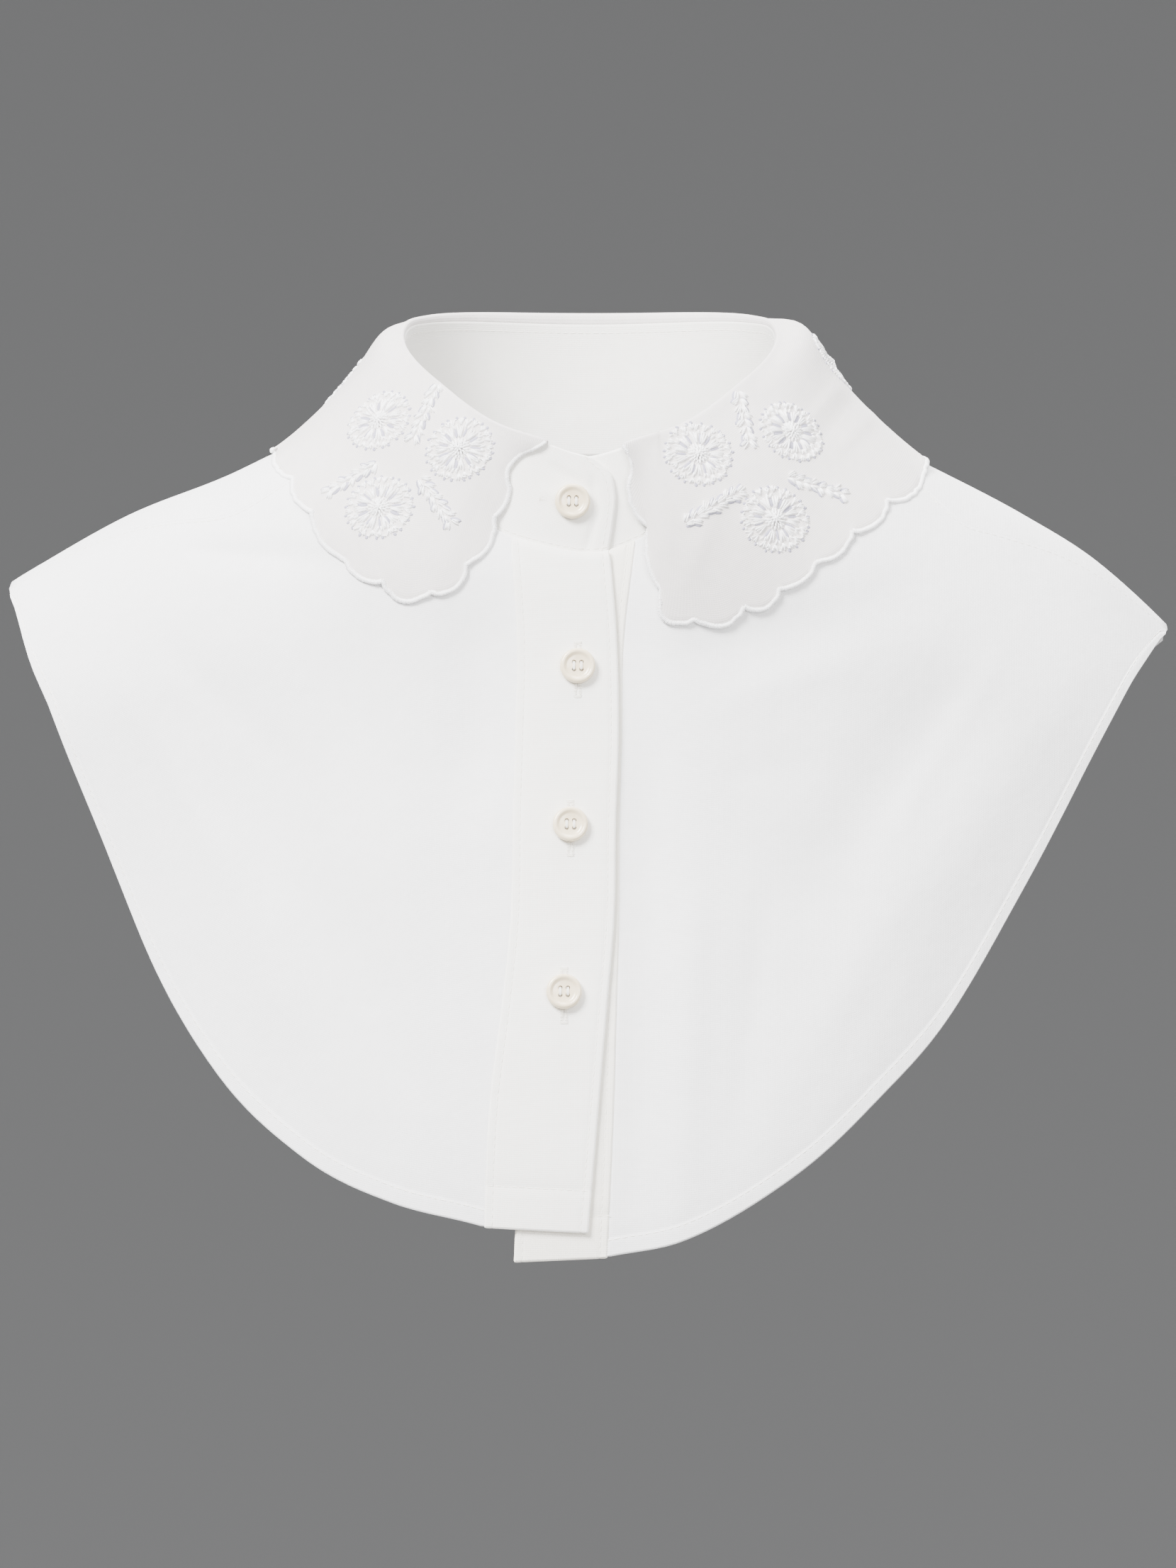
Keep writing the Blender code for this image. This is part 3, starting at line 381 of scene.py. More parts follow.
poplin = woven_cotton("bleached cotton poplin", "#F6F5F5", "#EEEDED", 0.85, 0.00005, 0.0005)
band_poplin = woven_cotton("folded cotton poplin band", "#FCFAF5", "#F7F4ED", 0.85, 0.00005, 0.0003)
# The button band is the same cloth as the buttonhole band, coloured darker and warmer as painted shade
# where it lies under that band
shaded_band_poplin = woven_cotton("tucked cotton poplin band with painted shade", "#F9F5EB", "#F3EEE3", 0.85, 0.00005, 0.0003)
leaf_poplin = woven_cotton("stiffened cotton poplin", "#E5E0DD", "#DAD4D1", 0.8, 0.00006, 0.0003)
print("cloths:", len(bpy.data.materials), "with", len(poplin.node_tree.nodes), "nodes each")


# %% Floss and thread
def twisted_floss(name, colour, roughness, sheen):
    """Cotton floss: a little glossier than cloth, with a fine unevenness along its twist."""
    material, tree, shader = new_material(
        name, Base_Color=hex_colour(colour), Roughness=roughness, IOR=1.5, Sheen_Weight=sheen,
        Sheen_Roughness=0.35,
    )
    place = add_node(tree, "ShaderNodeTexCoord")
    twist = add_node(
        tree, "ShaderNodeTexNoise", {"Scale": 2600.0, "Detail": 2.0},
        {"Vector": place.outputs["Object"]},
    )
    ridges = add_node(
        tree, "ShaderNodeBump", {"Strength": 1.0, "Distance": 0.00004},
        {"Height": twist.outputs["Fac"]},
    )
    tree.links.new(ridges.outputs["Normal"], shader.inputs["Normal"])
    return material


white_floss = twisted_floss("white embroidery floss", "#FEFDFD", 0.4, 0.35)
# The holes of the embroidery are not cut: a flat grey-lilac thread lies in each, as painted shade for the
# dark inside of a hole
painted_hole_shade = twisted_floss("painted shade in the holes of the work", "#A6A3B3", 0.7, 0.1)
sewing_thread = twisted_floss("cotton sewing thread", "#F3EFE6", 0.6, 0.2)
# The slit of a buttonhole is a dark thread: painted shade for the gap between its rows of stitches
gap_shadow = twisted_floss("painted shade in a buttonhole slit", "#CFCAC0", 0.9, 0.0)

# %% Shell
# Polished shell is hard and glossy, and its layers give it a cloudy change from cream to tan
pearl, pearl_tree, pearl_shader = new_material(
    "mother of pearl shell", Roughness=0.22, IOR=1.53, Coat_Weight=0.4, Coat_Roughness=0.1,
)
pearl_place = add_node(pearl_tree, "ShaderNodeTexCoord")
pearl_clouds = add_node(
    pearl_tree, "ShaderNodeTexNoise", {"Scale": 240.0, "Detail": 4.0, "Distortion": 1.2},
    {"Vector": pearl_place.outputs["Object"]},
)
pearl_tint = add_node(
    pearl_tree, "ShaderNodeMix", {6: hex_colour("#E3CFA9"), 7: hex_colour("#F2E3C8")},
    {0: pearl_clouds.outputs["Fac"]}, data_type="RGBA",
)
pearl_tree.links.new(pearl_tint.outputs[2], pearl_shader.inputs["Base Color"])
print("materials:", len(bpy.data.materials))

# %% [markdown]
# ## The bib
# A maker cuts two fronts and a back, sews the shoulder seams, and turns up a narrow hem. Each
# panel here is a grid of lines: every line starts on the shoulder seam or the neck seam and falls
# to the lower edge. Rows crowd together at the hem, where the cloth is doubled and a row of
# stitches pulls it into small puckers.

# %% Sizes of the bib
# Lines of the grid for each length of seam, and rows from the top to the hem
FINE, BIB_ROWS = 5, 60
# The outer and inner face of the cloth, out from the figure
CLOTH_TOP, CLOTH_LOW = 0.8, 0.35
HEM_WIDTH, HEM_STITCH = 5.5, 4.8
# How far the doubled hem stands out and in, its puckers swing and its stitches pull it down
HEM_OUT, HEM_IN, HEM_PUCKER, HEM_PULL = 0.14, 0.3, 0.11, 0.16
# Rows of the hem as millimetres from the edge
HEM_ROWS = (5.0, 4.8, 4.5, 3.6, 2.6, 1.6, 0.8, 0.2, 0.0)
SEAM_GAP, NECK_GAP = 0.15, 0.2
# The ring of the neck seam, and the dip that the buttoned end of the stand pulls into it
NECK_HALF_WIDTH, NECK_FRONT_SINE, NECK_BACK_SINE, NECK_SQUARENESS = 67.0, 0.968, 0.70, 0.75
NECK_DIP, NECK_DIP_ANGLE, NECK_DIP_SPREAD = 0.055, -28.0, 14.0
# How far the wearer's left side is tucked in, and from where to where across that fades
UNDER_DEPTH, UNDER_FROM, UNDER_TO = 1.9, 12.0, 30.0
# Degrees from the front to the shoulder seams, and the weave's millimetres in a unit of turn
SEAM_ANGLE, TURN_LENGTH = 78.0, 95.0
# Shoulder seams and lower edges as (across, height)
RIGHT_SEAM = ((-188.6, -29.4), (-168.6, -18.2), (-138.8, -8.4), (-112.5, -4.0), (-97.8, 5.0))
LEFT_SEAM = ((187.6, -42.6), (169.5, -28.0), (152.2, -18.3), (131.3, -11.6), (119.3, -7.6), (109.0, 2.0))
RIGHT_EDGE = (
    (-188, -32.4), (-182.8, -47.6), (-174.2, -68.4), (-157.3, -109.4), (-140, -150.7), (-119.4, -184.8),
    (-91, -211.8), (-63.9, -225.3), (-32.8, -233.4),
)
LEFT_EDGE = (
    (186.6, -44.4), (182.8, -48.4), (173.7, -61.8), (159, -89), (137, -130), (112, -171),
    (87.2, -197.9), (53.7, -225.2), (29.1, -238), (5, -243),
)
BACK_EDGE = (
    (187.4, -46), (181, -53.5), (172, -66), (158, -92), (138, -128), (114, -164), (86, -194),
    (56, -211), (0, -221),
)
# The back's tips rise by this towards the wearer's right, whose shoulder is higher
BACK_TIP_RISE = 12.0
# Front opening as (height, buttonhole band's outer edge, its free edge, button band's showing edge)
OPENING = (
    (-245, -33.4, -1.8, 5), (-192.2, -31.2, 2.6, 7.2), (-163.2, -27.6, 5, 8), (-136.6, -24.9, 7.2, 8.8),
    (-105.3, -24.2, 7.8, 9), (-76.4, -23.3, 8.7, 9.8), (-47.4, -22.8, 8.2, 10.4), (-14, -25, 5.6, 14.4),
)
OPENING_TOP = OPENING[-1][0]
print("the bib is", LEFT_EDGE[0][0] - RIGHT_EDGE[0][0], "mm across")


# %% The neck seam and the opening
def neck_seam(degrees, grow=0.0):
    """(across, turn) on the neck seam, at an angle round the neck from the front, grown outwards."""
    degrees = (np.asarray(degrees, float) + 180) % 360 - 180
    angle = np.radians(degrees)
    facing = np.cos(angle)
    front = NECK_FRONT_SINE * np.maximum(facing, 0) ** NECK_SQUARENESS
    back = NECK_BACK_SINE * np.maximum(-facing, 0) ** NECK_SQUARENESS
    turn = (np.arcsin(back) - np.arcsin(front)) / (math.pi / 2)
    turn = turn - NECK_DIP * np.exp(-(((degrees - NECK_DIP_ANGLE) / NECK_DIP_SPREAD) ** 2))
    turn = turn - grow / SECTION_ARC * facing
    return (NECK_HALF_WIDTH + grow) * np.sin(angle), turn


def under_level(x):
    """How far the wearer's left side is tucked in where the right side laps over it."""
    return UNDER_DEPTH * (1 - smooth_step(UNDER_FROM, UNDER_TO, x))


def opening_edge(column):
    """The across position of one edge of the front opening, at any height."""
    table = np.array(OPENING)[:, [0, column]]
    return lambda heights: smooth_curve(table, heights)[..., 0]


def flat_map(x, turn):
    """The UV map of cloth on the figure: metres across and down."""
    return np.stack([x, turn * TURN_LENGTH], axis=-1) * MM


print("the neck seam in front:", figure_point(*neck_seam(0.0)).round(1))


# %% A panel of the bib
def bib_panel(name, top, bottom, crowd, side_edge=None, level=None, sideways=1.0):
    """A panel between two edges, each a line of (across, turn), with a puckered hem at the bottom."""
    lengths = np.linalg.norm((bottom - top) * np.array([1.0, SECTION_ARC]), axis=1)
    lengths = np.maximum(lengths, 2.5 * HEM_WIDTH)[:, None]
    plain = np.linspace(0, 1, BIB_ROWS) ** crowd
    parts = np.concatenate(
        [plain[None, :] * (1 - HEM_WIDTH / lengths), 1 - np.array(HEM_ROWS)[None, :] / lengths], axis=1,
    )
    x = top[:, :1] + (bottom - top)[:, :1] * parts**sideways
    turn = top[:, 1:] + (bottom - top)[:, 1:] * parts
    if side_edge is not None:
        heights = figure_point(x[-1], turn[-1])[:, 2]
        near = (np.linspace(0, 1, len(top)) ** 4)[:, None]
        x = x + near * (side_edge(heights) - x[-1])[None, :]
    points = figure_point(x, turn)
    if level is not None:
        points[..., 1] += level(x)
    edge_run = np.linalg.norm(np.diff(points[:, -1], axis=0), axis=-1)
    along = np.concatenate([[0.0], np.cumsum(edge_run)])[:, None]
    inset = (1 - parts) * lengths
    # Puckers are waves of uneven length along the hem, and its stitches pull a fine groove
    pucker = np.sin(along * 1.37 + 1.3 * np.sin(along * 0.23)) * np.exp(-(((inset - 3.2) / 2.6) ** 2))
    pull = np.exp(-(((inset - HEM_STITCH) / 0.5) ** 2))
    double = smooth_step(5.4, 4.4, inset)
    outer = CLOTH_TOP + HEM_OUT * double + HEM_PUCKER * pucker - HEM_PULL * pull
    inner = CLOTH_LOW - HEM_IN * double
    return cloth_shell(name, points, figure_normals(x, turn), outer, inner, flat_map(x, turn), poplin)


def seam_line(seam, end_angle, gap_side):
    """The shoulder seam as (across, turn), from the tip to the neck seam, half a gap to one side."""
    seam = np.array(seam)
    places = np.column_stack([seam[:, 0], turn_at(seam[:, 0], seam[:, 1], -1)])
    places = np.vstack([places, np.column_stack(neck_seam([end_angle], NECK_GAP))])
    places[:, 1] += gap_side * SEAM_GAP / 2 / SECTION_ARC
    return along_points(places, np.linspace(0, 1, 10 * FINE + 1))


def edge_line(edge, side, count):
    """A lower edge as (across, turn)."""
    edge = np.array(edge)
    places = np.column_stack([edge[:, 0], turn_at(edge[:, 0], edge[:, 1], side)])
    return along_points(places, np.linspace(0, 1, count))


def bib_front(name, seam, edge, sign, opening_column, tuck, level=None):
    """One bib front, from its shoulder tip to the front opening, where it runs under the band."""
    edge_x = opening_edge(opening_column)
    opening_angle = math.degrees(math.asin((edge_x(OPENING_TOP) + sign * 0.4) / NECK_HALF_WIDTH))
    parts = np.linspace(0, 1, 9 * FINE + 1)[1:]
    angles = sign * SEAM_ANGLE + (opening_angle - sign * SEAM_ANGLE) * parts
    neck = np.column_stack(neck_seam(angles, NECK_GAP))
    top = np.vstack([seam_line(seam, sign * SEAM_ANGLE, -1), neck])
    bottom = edge_line(edge, -1, len(top))
    return bib_panel(name, top, bottom, 1.35, lambda z: edge_x(z) + sign * tuck, level)


right_front = bib_front("right_front_cloth", RIGHT_SEAM, RIGHT_EDGE, -1, 1, 0.12)
left_front = bib_front("left_front_cloth", LEFT_SEAM, LEFT_EDGE, 1, 3, -0.4, under_level)

# %% The back
half_edge = np.array(BACK_EDGE)
tip_rise = BACK_TIP_RISE * smooth_step(90, SHOULDER_REACH, half_edge[:, 0])
other_half = np.column_stack([-half_edge[:, 0], half_edge[:, 1] + tip_rise])
whole_edge = np.vstack([other_half, half_edge[-2::-1]])
neck_angles = np.linspace(-SEAM_ANGLE, SEAM_ANGLE - 360, 22 * FINE + 1)[1:-1]
seams = [seam_line(RIGHT_SEAM, -SEAM_ANGLE, 1), seam_line(LEFT_SEAM, SEAM_ANGLE, 1)[::-1]]
back_top = np.vstack([seams[0], np.column_stack(neck_seam(neck_angles, NECK_GAP)), seams[1]])
back_bottom = edge_line(whole_edge, 1, len(back_top))
back_cloth = bib_panel("back_cloth", back_top, back_bottom, 1.5, sideways=0.6)
for made, node in ((right_front, "front_right"), (left_front, "front_left"), (back_cloth, "back")):
    mount_piece(made, [node])

# %% [markdown]
# ## The buttoned opening
# Each front edge is finished with a folded band about 30 mm wide: two layers of cloth with a line
# of stitching along both folds. The buttonhole band lies on top, and the button band under it.

# %% Sizes of the front bands
BAND_TOP, BAND_ROWS = 1.35, 90
BUTTON_BAND_WIDTH = 28.6
# Lines of stitches lie this far in from the folds and this far up from the lower edge
BAND_STITCH, BAND_HEM = 2.0, 13.0
BAND_HEM_ROWS = (13.5, 13.0, 12.5, 9.0, 5.0, 2.0, 0.6, 0.2, 0.0)
# How far a line of stitches pulls the band down, and its folds swing between them
BAND_PULL, BAND_PUFF = 0.15, 0.07
BUTTONHOLE_BAND_BOTTOM = ((-33.4, -233.5), (-1.8, -235.2))
BUTTON_BAND_BOTTOM = ((-23.8, -244.4), (5.0, -243.1))
# Lines down a band as millimetres in from its fold: close together at the folds and at the stitching
BAND_LINES = (0.0, 0.25, 0.8, 1.4, 1.9, 2.2, 2.5, 3.2, 5.0, 8.0, 11.5)
print("lines down a band:", 2 * len(BAND_LINES) + 1)


# %% The front bands
def front_band(name, near_edge, far_edge, bottom, level, low_face, material):
    """A front band between two edges, from the neck seam to its own hem."""
    (near_x, near_z), (far_x, far_z) = bottom
    width = far_x - near_x
    lines = np.array(BAND_LINES) / width
    parts = np.concatenate([lines, [0.5], 1 - lines[::-1]])[:, None]
    start_x = near_edge(OPENING_TOP) * (1 - parts) + far_edge(OPENING_TOP) * parts
    angle = np.degrees(np.arcsin(start_x / NECK_HALF_WIDTH))
    high = figure_point(*neck_seam(angle, NECK_GAP))[..., 2]
    low = near_z + (far_z - near_z) * parts
    hem = np.array(BAND_HEM_ROWS)
    down = np.linspace(0, 1, BAND_ROWS)[None, :-1]
    heights = np.concatenate([high + (low + BAND_HEM + 2.0 - high) * down, low + hem[None, :]], axis=1)
    x = near_edge(heights) * (1 - parts) + far_edge(heights) * parts
    turn = turn_at(x, heights, -1)
    points = figure_point(x, turn)
    points[..., 1] += level
    inset = np.minimum(parts, 1 - parts) * width
    stitched = np.exp(-(((inset - BAND_STITCH) / 0.45) ** 2))
    stitched = np.maximum(stitched, np.exp(-(((heights - low - BAND_HEM) / 0.45) ** 2)))
    puffed = BAND_PUFF * np.sin(heights * 1.15 + 1.6 * np.sin(heights * 0.31))
    puffed = puffed * np.exp(-(((inset - 1.2) / 1.4) ** 2))
    outer = BAND_TOP + puffed - BAND_PULL * stitched
    normals, uv = figure_normals(x, turn), flat_map(x, turn)
    return cloth_shell(name, points, normals, outer, low_face, uv, material)


free_edge, showing_edge = opening_edge(2), opening_edge(3)
buttonhole_band = front_band(
    "buttonhole_band", opening_edge(1), free_edge, BUTTONHOLE_BAND_BOTTOM, 0.0, 0.3, band_poplin,
)
button_band = front_band(
    "button_band", lambda z: showing_edge(z) - BUTTON_BAND_WIDTH, showing_edge, BUTTON_BAND_BOTTOM,
    UNDER_DEPTH, 0.2, shaded_band_poplin,
)
mount_piece(buttonhole_band, ["placket_right"])
mount_piece(button_band, ["placket_left"])

# %% [markdown]
# ## The stand and the leaf
# The stand is a stiffened band that carries the leaf. The leaf is sewn into its top edge, rolls
# over and falls to a scalloped edge. Its grid follows that: each line climbs out of the stand,
# turns over and falls to one point of the scallops.

# %% Sizes of the stand
# Height of its top edge, by degrees from the front
STAND_TOP = (
    (0, 12.4), (6, 14), (12, 16.3), (27, 21.2), (55, 37.2), (75, 46.6), (90, 52.6), (105, 57),
    (120, 58.6), (180, 58.8),
)
TOP_HALF_WIDTH, TOP_HALF_DEPTH, TOP_CENTRE_Y = 61.5, 51.0, -4.0
# The rounded outline of the buttoned end, as (part of the height, degrees)
STAND_END = ((0.0, 4.7), (0.3, 6.2), (0.6, 6.9), (0.85, 4.6), (1.0, 0.4))
# Degrees round the neck to the stand's tucked end, which lies under the buttoned one
STAND_TUCKED_END = -372.8
STAND_WALL = 1.3
# Creases of the stand's buttoned end, as the folds above
STAND_CREASES = (
    (0.9, 6.6, 2.5, -4.3, 1.1, -0.7), (2.5, -4.3, -1.1, -17.8, 1.1, -0.7),
    (-12.8, 9.8, -0.2, 2.5, 1.5, -0.6), (-16, 2, -9, -1, 2, 0.4),
)


def neck_seam_point(degrees):
    """A point on the neck seam."""
    return figure_point(*neck_seam(degrees))


def stand_top_point(degrees):
    """A point on the stand's top edge."""
    degrees = (np.asarray(degrees, float) + 180) % 360 - 180
    angle = np.radians(degrees)
    x = TOP_HALF_WIDTH * np.sin(angle)
    y = TOP_CENTRE_Y - TOP_HALF_DEPTH * np.cos(angle)
    return np.stack([x, y, smooth_curve(STAND_TOP, np.abs(degrees))[..., 0]], axis=-1)


# %% The stand's cloth
# Lines crowd together at the buttoned end, whose outline is rounded, and rows at both edges
starts = [np.linspace(0, 0.002, 4), np.linspace(0.004, 0.1, 40)]
place = np.concatenate([*starts, np.linspace(0.102, 1, 220)])
rows = np.concatenate([[0.0, 0.01], np.linspace(0.03, 0.97, 22), [0.99, 1.0]])
ends = smooth_curve(STAND_END, rows)[:, 0]
base = (STAND_END[0][1] * (1 - place) + STAND_TUCKED_END * place)[:, None]
near = smooth_step(0.075, 0.0, place)[:, None]
degrees = base + near * (ends - STAND_END[0][1])[None, :]
low_line, high_line = neck_seam_point(degrees), stand_top_point(degrees)
stand_points = low_line + (high_line - low_line) * rows[None, :, None]
tucked = smooth_step(-300, -330, base)
stand_points[..., 1] += tucked * under_level(stand_points[..., 0])
stand_normals = -grid_normals(stand_points)
creased = fold_relief(stand_points[..., 0], stand_points[..., 2], STAND_CREASES)
creased = creased * smooth_step(-60, -20, base)
stand_shell = cloth_shell(
    "stand_cloth", stand_points, stand_normals, creased, creased - STAND_WALL, arc_map(stand_points),
    band_poplin,
)
mount_piece(stand_shell, ["collar_stand"])

# %% [markdown]
# The leaf is drawn from its edge. The scallops are laid lobe by lobe where they show, and the lines
# of the leaf fan out to them from the top of the stand. Each line then rolls over, falls in a bow,
# and is pushed out of the cloth under it and evened out in turns, as a stiffened collar settles.

# %% Sizes of the leaf
LEAF_WALL = 0.7
# How far the edge lies out from the figure, the leaf from the cloth under it, and the bib's face
LEAF_LIFT, LEAF_CLEAR, BIB_FACE = 2.0, 1.0, 1.0
# The leaf rests on top of a shoulder from this far outside the neck, and this far fore and aft
SHOULDER_MARGIN, SHOULDER_TOP_DEPTH = 8.0, 36.0
# The climb out of the stand and over the fold, as (out, up)
LEAF_RISE = ((0.0, 0.2), (0.1, 1.9), (0.9, 3.2), (2.2, 3.1), (3.1, 1.7))
# How large the roll at the fold is, by degrees round the neck
LEAF_SWELLS = (
    (0, 0.42), (20, 0.5), (45, 0.42), (100, 0.5), (135, 0.9), (180, 1.2), (225, 0.9), (260, 0.5),
    (315, 0.42), (340, 0.5), (360, 0.42),
)
# How far the fall bows out, by degrees round the neck
LEAF_BULGE = (
    (10, 5), (45, 4.5), (86, -1), (118, 0.5), (180, 4), (242, 0), (274, -1), (315, 4), (350, 5),
)
# How much fuller the fall is close under the fold, by degrees round the neck
LEAF_CORNERS = (
    (0, 0), (50, 0), (72, 3), (90, 6.4), (112, 8), (140, 3.2), (180, 0), (220, 1.6), (248, 4.6),
    (270, 4), (290, 1.8), (312, 0), (360, 0),
)
# The part of the fall at which it is fullest
CORNER_AT = 0.17
# The front scallops as (across, height, bulge) of the end of each lobe, and the back ones' cusps as
# (across, turn)
LEFT_LEAF_START = (12.4, 13.8)
LEFT_LOBES = (
    (13, 5.4, -0.9), (19.4, -9.9, 2.6), (23.2, -30.2, 2.8), (34, -39.7, 6.6), (49.7, -35.6, 4.2),
    (61.1, -29.6, 3.6), (72.8, -21, 2.6), (84.8, -11, 2.8), (96.2, -0.9, 3.4), (108.4, 8.6, 3.6),
)
RIGHT_LEAF_START = (-19.0, 14.8)
RIGHT_LOBES = (
    (-25, 11, -0.7), (-27, 6, -0.4), (-31, -6.4, 2.6), (-39.9, -21.7, 3.4), (-51.5, -31, 4.2),
    (-66.8, -27.3, 4.6), (-78.7, -20.3, 2.8), (-89.6, -4.6, 3), (-96.2, 6.4, 2.6), (-102.6, 15.2, 2.4),
)
LEAF_BACK_EDGE = (
    (108.4, -0.17), (107.6, 0.02), (103.6, 0.24), (94, 0.42), (70, 0.54), (36, 0.61), (0, 0.63),
    (-36, 0.61), (-67, 0.54), (-89, 0.42), (-98, 0.24), (-101.8, 0.08), (-102.6, -0.06),
)
BACK_LOBES, BACK_LOBE_BULGE, LOBE_STEPS = 15, 2.9, 14
# A back lobe at a shoulder bulges this part as much, and the next one in is half way to the rest
SHOULDER_LOBE = 0.3
# Degrees round the neck from which the lines to eight points of the edge start
LEAF_FAN = (10.0, 15.0, 24.0, 90.0, 270.0, 318.0, 338.0, 347.0)
LEAF_ROLL_ROWS, LEAF_FALL_ROWS = 12, 34
# The leaf starts inside the stand, bows fully where it falls this far, and bows most at this part
LEAF_ROOT, LEAF_FULL_FALL, LEAF_BOW_AT = 0.7, 66.0, 0.38
print("lobes:", len(LEFT_LOBES), "left,", len(RIGHT_LOBES), "right,", BACK_LOBES, "behind")


# %% What lies under the leaf
def front_cover_y(x, z):
    """The outermost cloth in front at a place: the stand above the neck seam, else the bib."""
    x, z = np.broadcast_arrays(np.asarray(x, float), np.asarray(z, float))
    low = neck_seam_point(np.degrees(np.arcsin(np.clip(x / NECK_HALF_WIDTH, -0.999, 0.999))))
    high = stand_top_point(np.degrees(np.arcsin(np.clip(x / TOP_HALF_WIDTH, -0.999, 0.999))))
    bib = figure_point(x, turn_at(x, z, -1))[..., 1] - BIB_FACE
    part = np.minimum(1.0, (z - low[..., 2]) / (high[..., 2] - low[..., 2]))
    on_stand = (np.abs(x) <= TOP_HALF_WIDTH - 1) & (z >= low[..., 2])
    return np.where(on_stand, low[..., 1] + (high[..., 1] - low[..., 1]) * part, bib)


def shoulder_cover(x, y):
    """Height of the outer cloth on the rounded top of a shoulder."""
    out = (x / SHOULDER_REACH) ** 2
    aside = y - RIDGE_FORWARD * (out - 1)
    front = aside < 0
    depth = np.where(front, FRONT_DEPTH - FRONT_DEPTH_LOSS * out, BACK_DEPTH - BACK_DEPTH_LOSS * out)
    angle = np.arcsin(np.clip(aside / depth, -1, 1))
    return ridge_height(x) - np.where(front, FRONT_ROUND, BACK_ROUND) * (1 - np.cos(angle)) + BIB_FACE


def soft_least(a, b, softness):
    """The smaller of two values, with a rounded change from one to the other."""
    low, high = np.minimum(a, b), np.maximum(a, b)
    return low - softness * np.log1p(np.exp(-(high - low) / softness))


print("the stand's front at 4 mm up:", front_cover_y(0.0, 4.0).round(1))


# %% The scalloped edge
def lobe_points(start, lobes, turn_sign):
    """Points of a scalloped edge, the same number on each lobe, without its last cusp."""
    found = []
    here = np.array(start, float)
    for across, height, bulge in lobes:
        run = np.array((across, height), float) - here
        out = turn_sign * np.array((run[1], -run[0])) / np.linalg.norm(run)
        for part in np.arange(LOBE_STEPS) / LOBE_STEPS:
            found.append(here + run * part + out * bulge * math.sin(math.pi * part) ** 0.8)
        here = here + run
    return found


def leaf_edge():
    """The whole scalloped edge in space, from the wearer's left front end round the back."""
    left = np.array(lobe_points(LEFT_LEAF_START, LEFT_LOBES, 1))
    right = np.array(lobe_points(RIGHT_LEAF_START, RIGHT_LOBES, -1) + [np.array(RIGHT_LOBES[-1][:2])])
    cusps = np.array(LEAF_BACK_EDGE) * (1.0, SECTION_ARC)
    cusps = along_points(cusps, np.linspace(0, 1, BACK_LOBES + 1))
    from_end = np.minimum(np.arange(BACK_LOBES), np.arange(BACK_LOBES)[::-1])
    bulges = BACK_LOBE_BULGE * (SHOULDER_LOBE + (1 - SHOULDER_LOBE) * np.minimum(1, from_end / 2))
    back = np.array(lobe_points(cusps[0], np.column_stack([cusps[1:], bulges]), 1))
    turn = back[:, 1] / SECTION_ARC
    behind = figure_point(back[:, 0], turn) + figure_normals(back[:, 0], turn) * LEAF_LIFT
    sides = []
    for side in (left, right):
        forward = front_cover_y(side[:, 0], side[:, 1]) - LEAF_LIFT + BIB_FACE
        sides.append(np.column_stack([side[:, 0], forward, side[:, 1]]))
    return np.concatenate([sides[0], behind, sides[1][::-1]])


# The stand's step shows in the edge's depth, so that is evened out and kept clear of the cloth
edge = leaf_edge()
last = len(edge) - 1
depth = edge[:, 1].copy()
for _ in range(60):
    depth[1:-1] = depth[1:-1] / 2 + (depth[:-2] + depth[2:]) / 4
in_front = edge[:, 1] < TOP_CENTRE_Y - 20
edge[:, 1] = np.where(in_front, np.minimum(depth, edge[:, 1] + 0.6), edge[:, 1])
print("points on the edge:", len(edge))

# %% The roll over the fold
fan_knots = (
    0, LOBE_STEPS // 2, LOBE_STEPS * 4, LOBE_STEPS * len(LEFT_LOBES),
    last - LOBE_STEPS * len(RIGHT_LOBES), last - LOBE_STEPS * 4, last - LOBE_STEPS // 2, last,
)
angles = smooth_curve(np.column_stack([fan_knots, LEAF_FAN]), np.arange(last + 1))[:, 0]
ahead = stand_top_point(angles + 1) - stand_top_point(angles - 1)
out = unit(np.column_stack([ahead[:, 1], -ahead[:, 0], 0 * angles]))
swell = smooth_curve(LEAF_SWELLS, angles)[:, 0]
roll_profile = along_points(LEAF_RISE, np.linspace(0, 1, LEAF_ROLL_ROWS))
root = stand_top_point(angles) - out * LEAF_ROOT
roll = out[:, None, :] * roll_profile[None, :, :1] + roll_profile[None, :, 1:] * np.array([0, 0, 1.0])
roll = root[:, None, :] + roll * swell[:, None, None]
print("the fold's highest point:", roll[..., 2].max().round(1))


# %% The fall to the edge
def even_out(values, times):
    """Evens out a grid of points. Both ends of each of its lines stay where they are."""
    values = values.copy()
    for _ in range(times):
        middle = values[1:-1, 1:-1]
        around = values[:-2, 1:-1] + values[2:, 1:-1] + values[1:-1, :-2] + values[1:-1, 2:]
        values[1:-1, 1:-1] = middle / 2 + around / 8
        for side in (0, -1):
            line = values[side]
            line[1:-1] = line[1:-1] / 2 + (line[:-2] + line[2:]) / 4
    return values


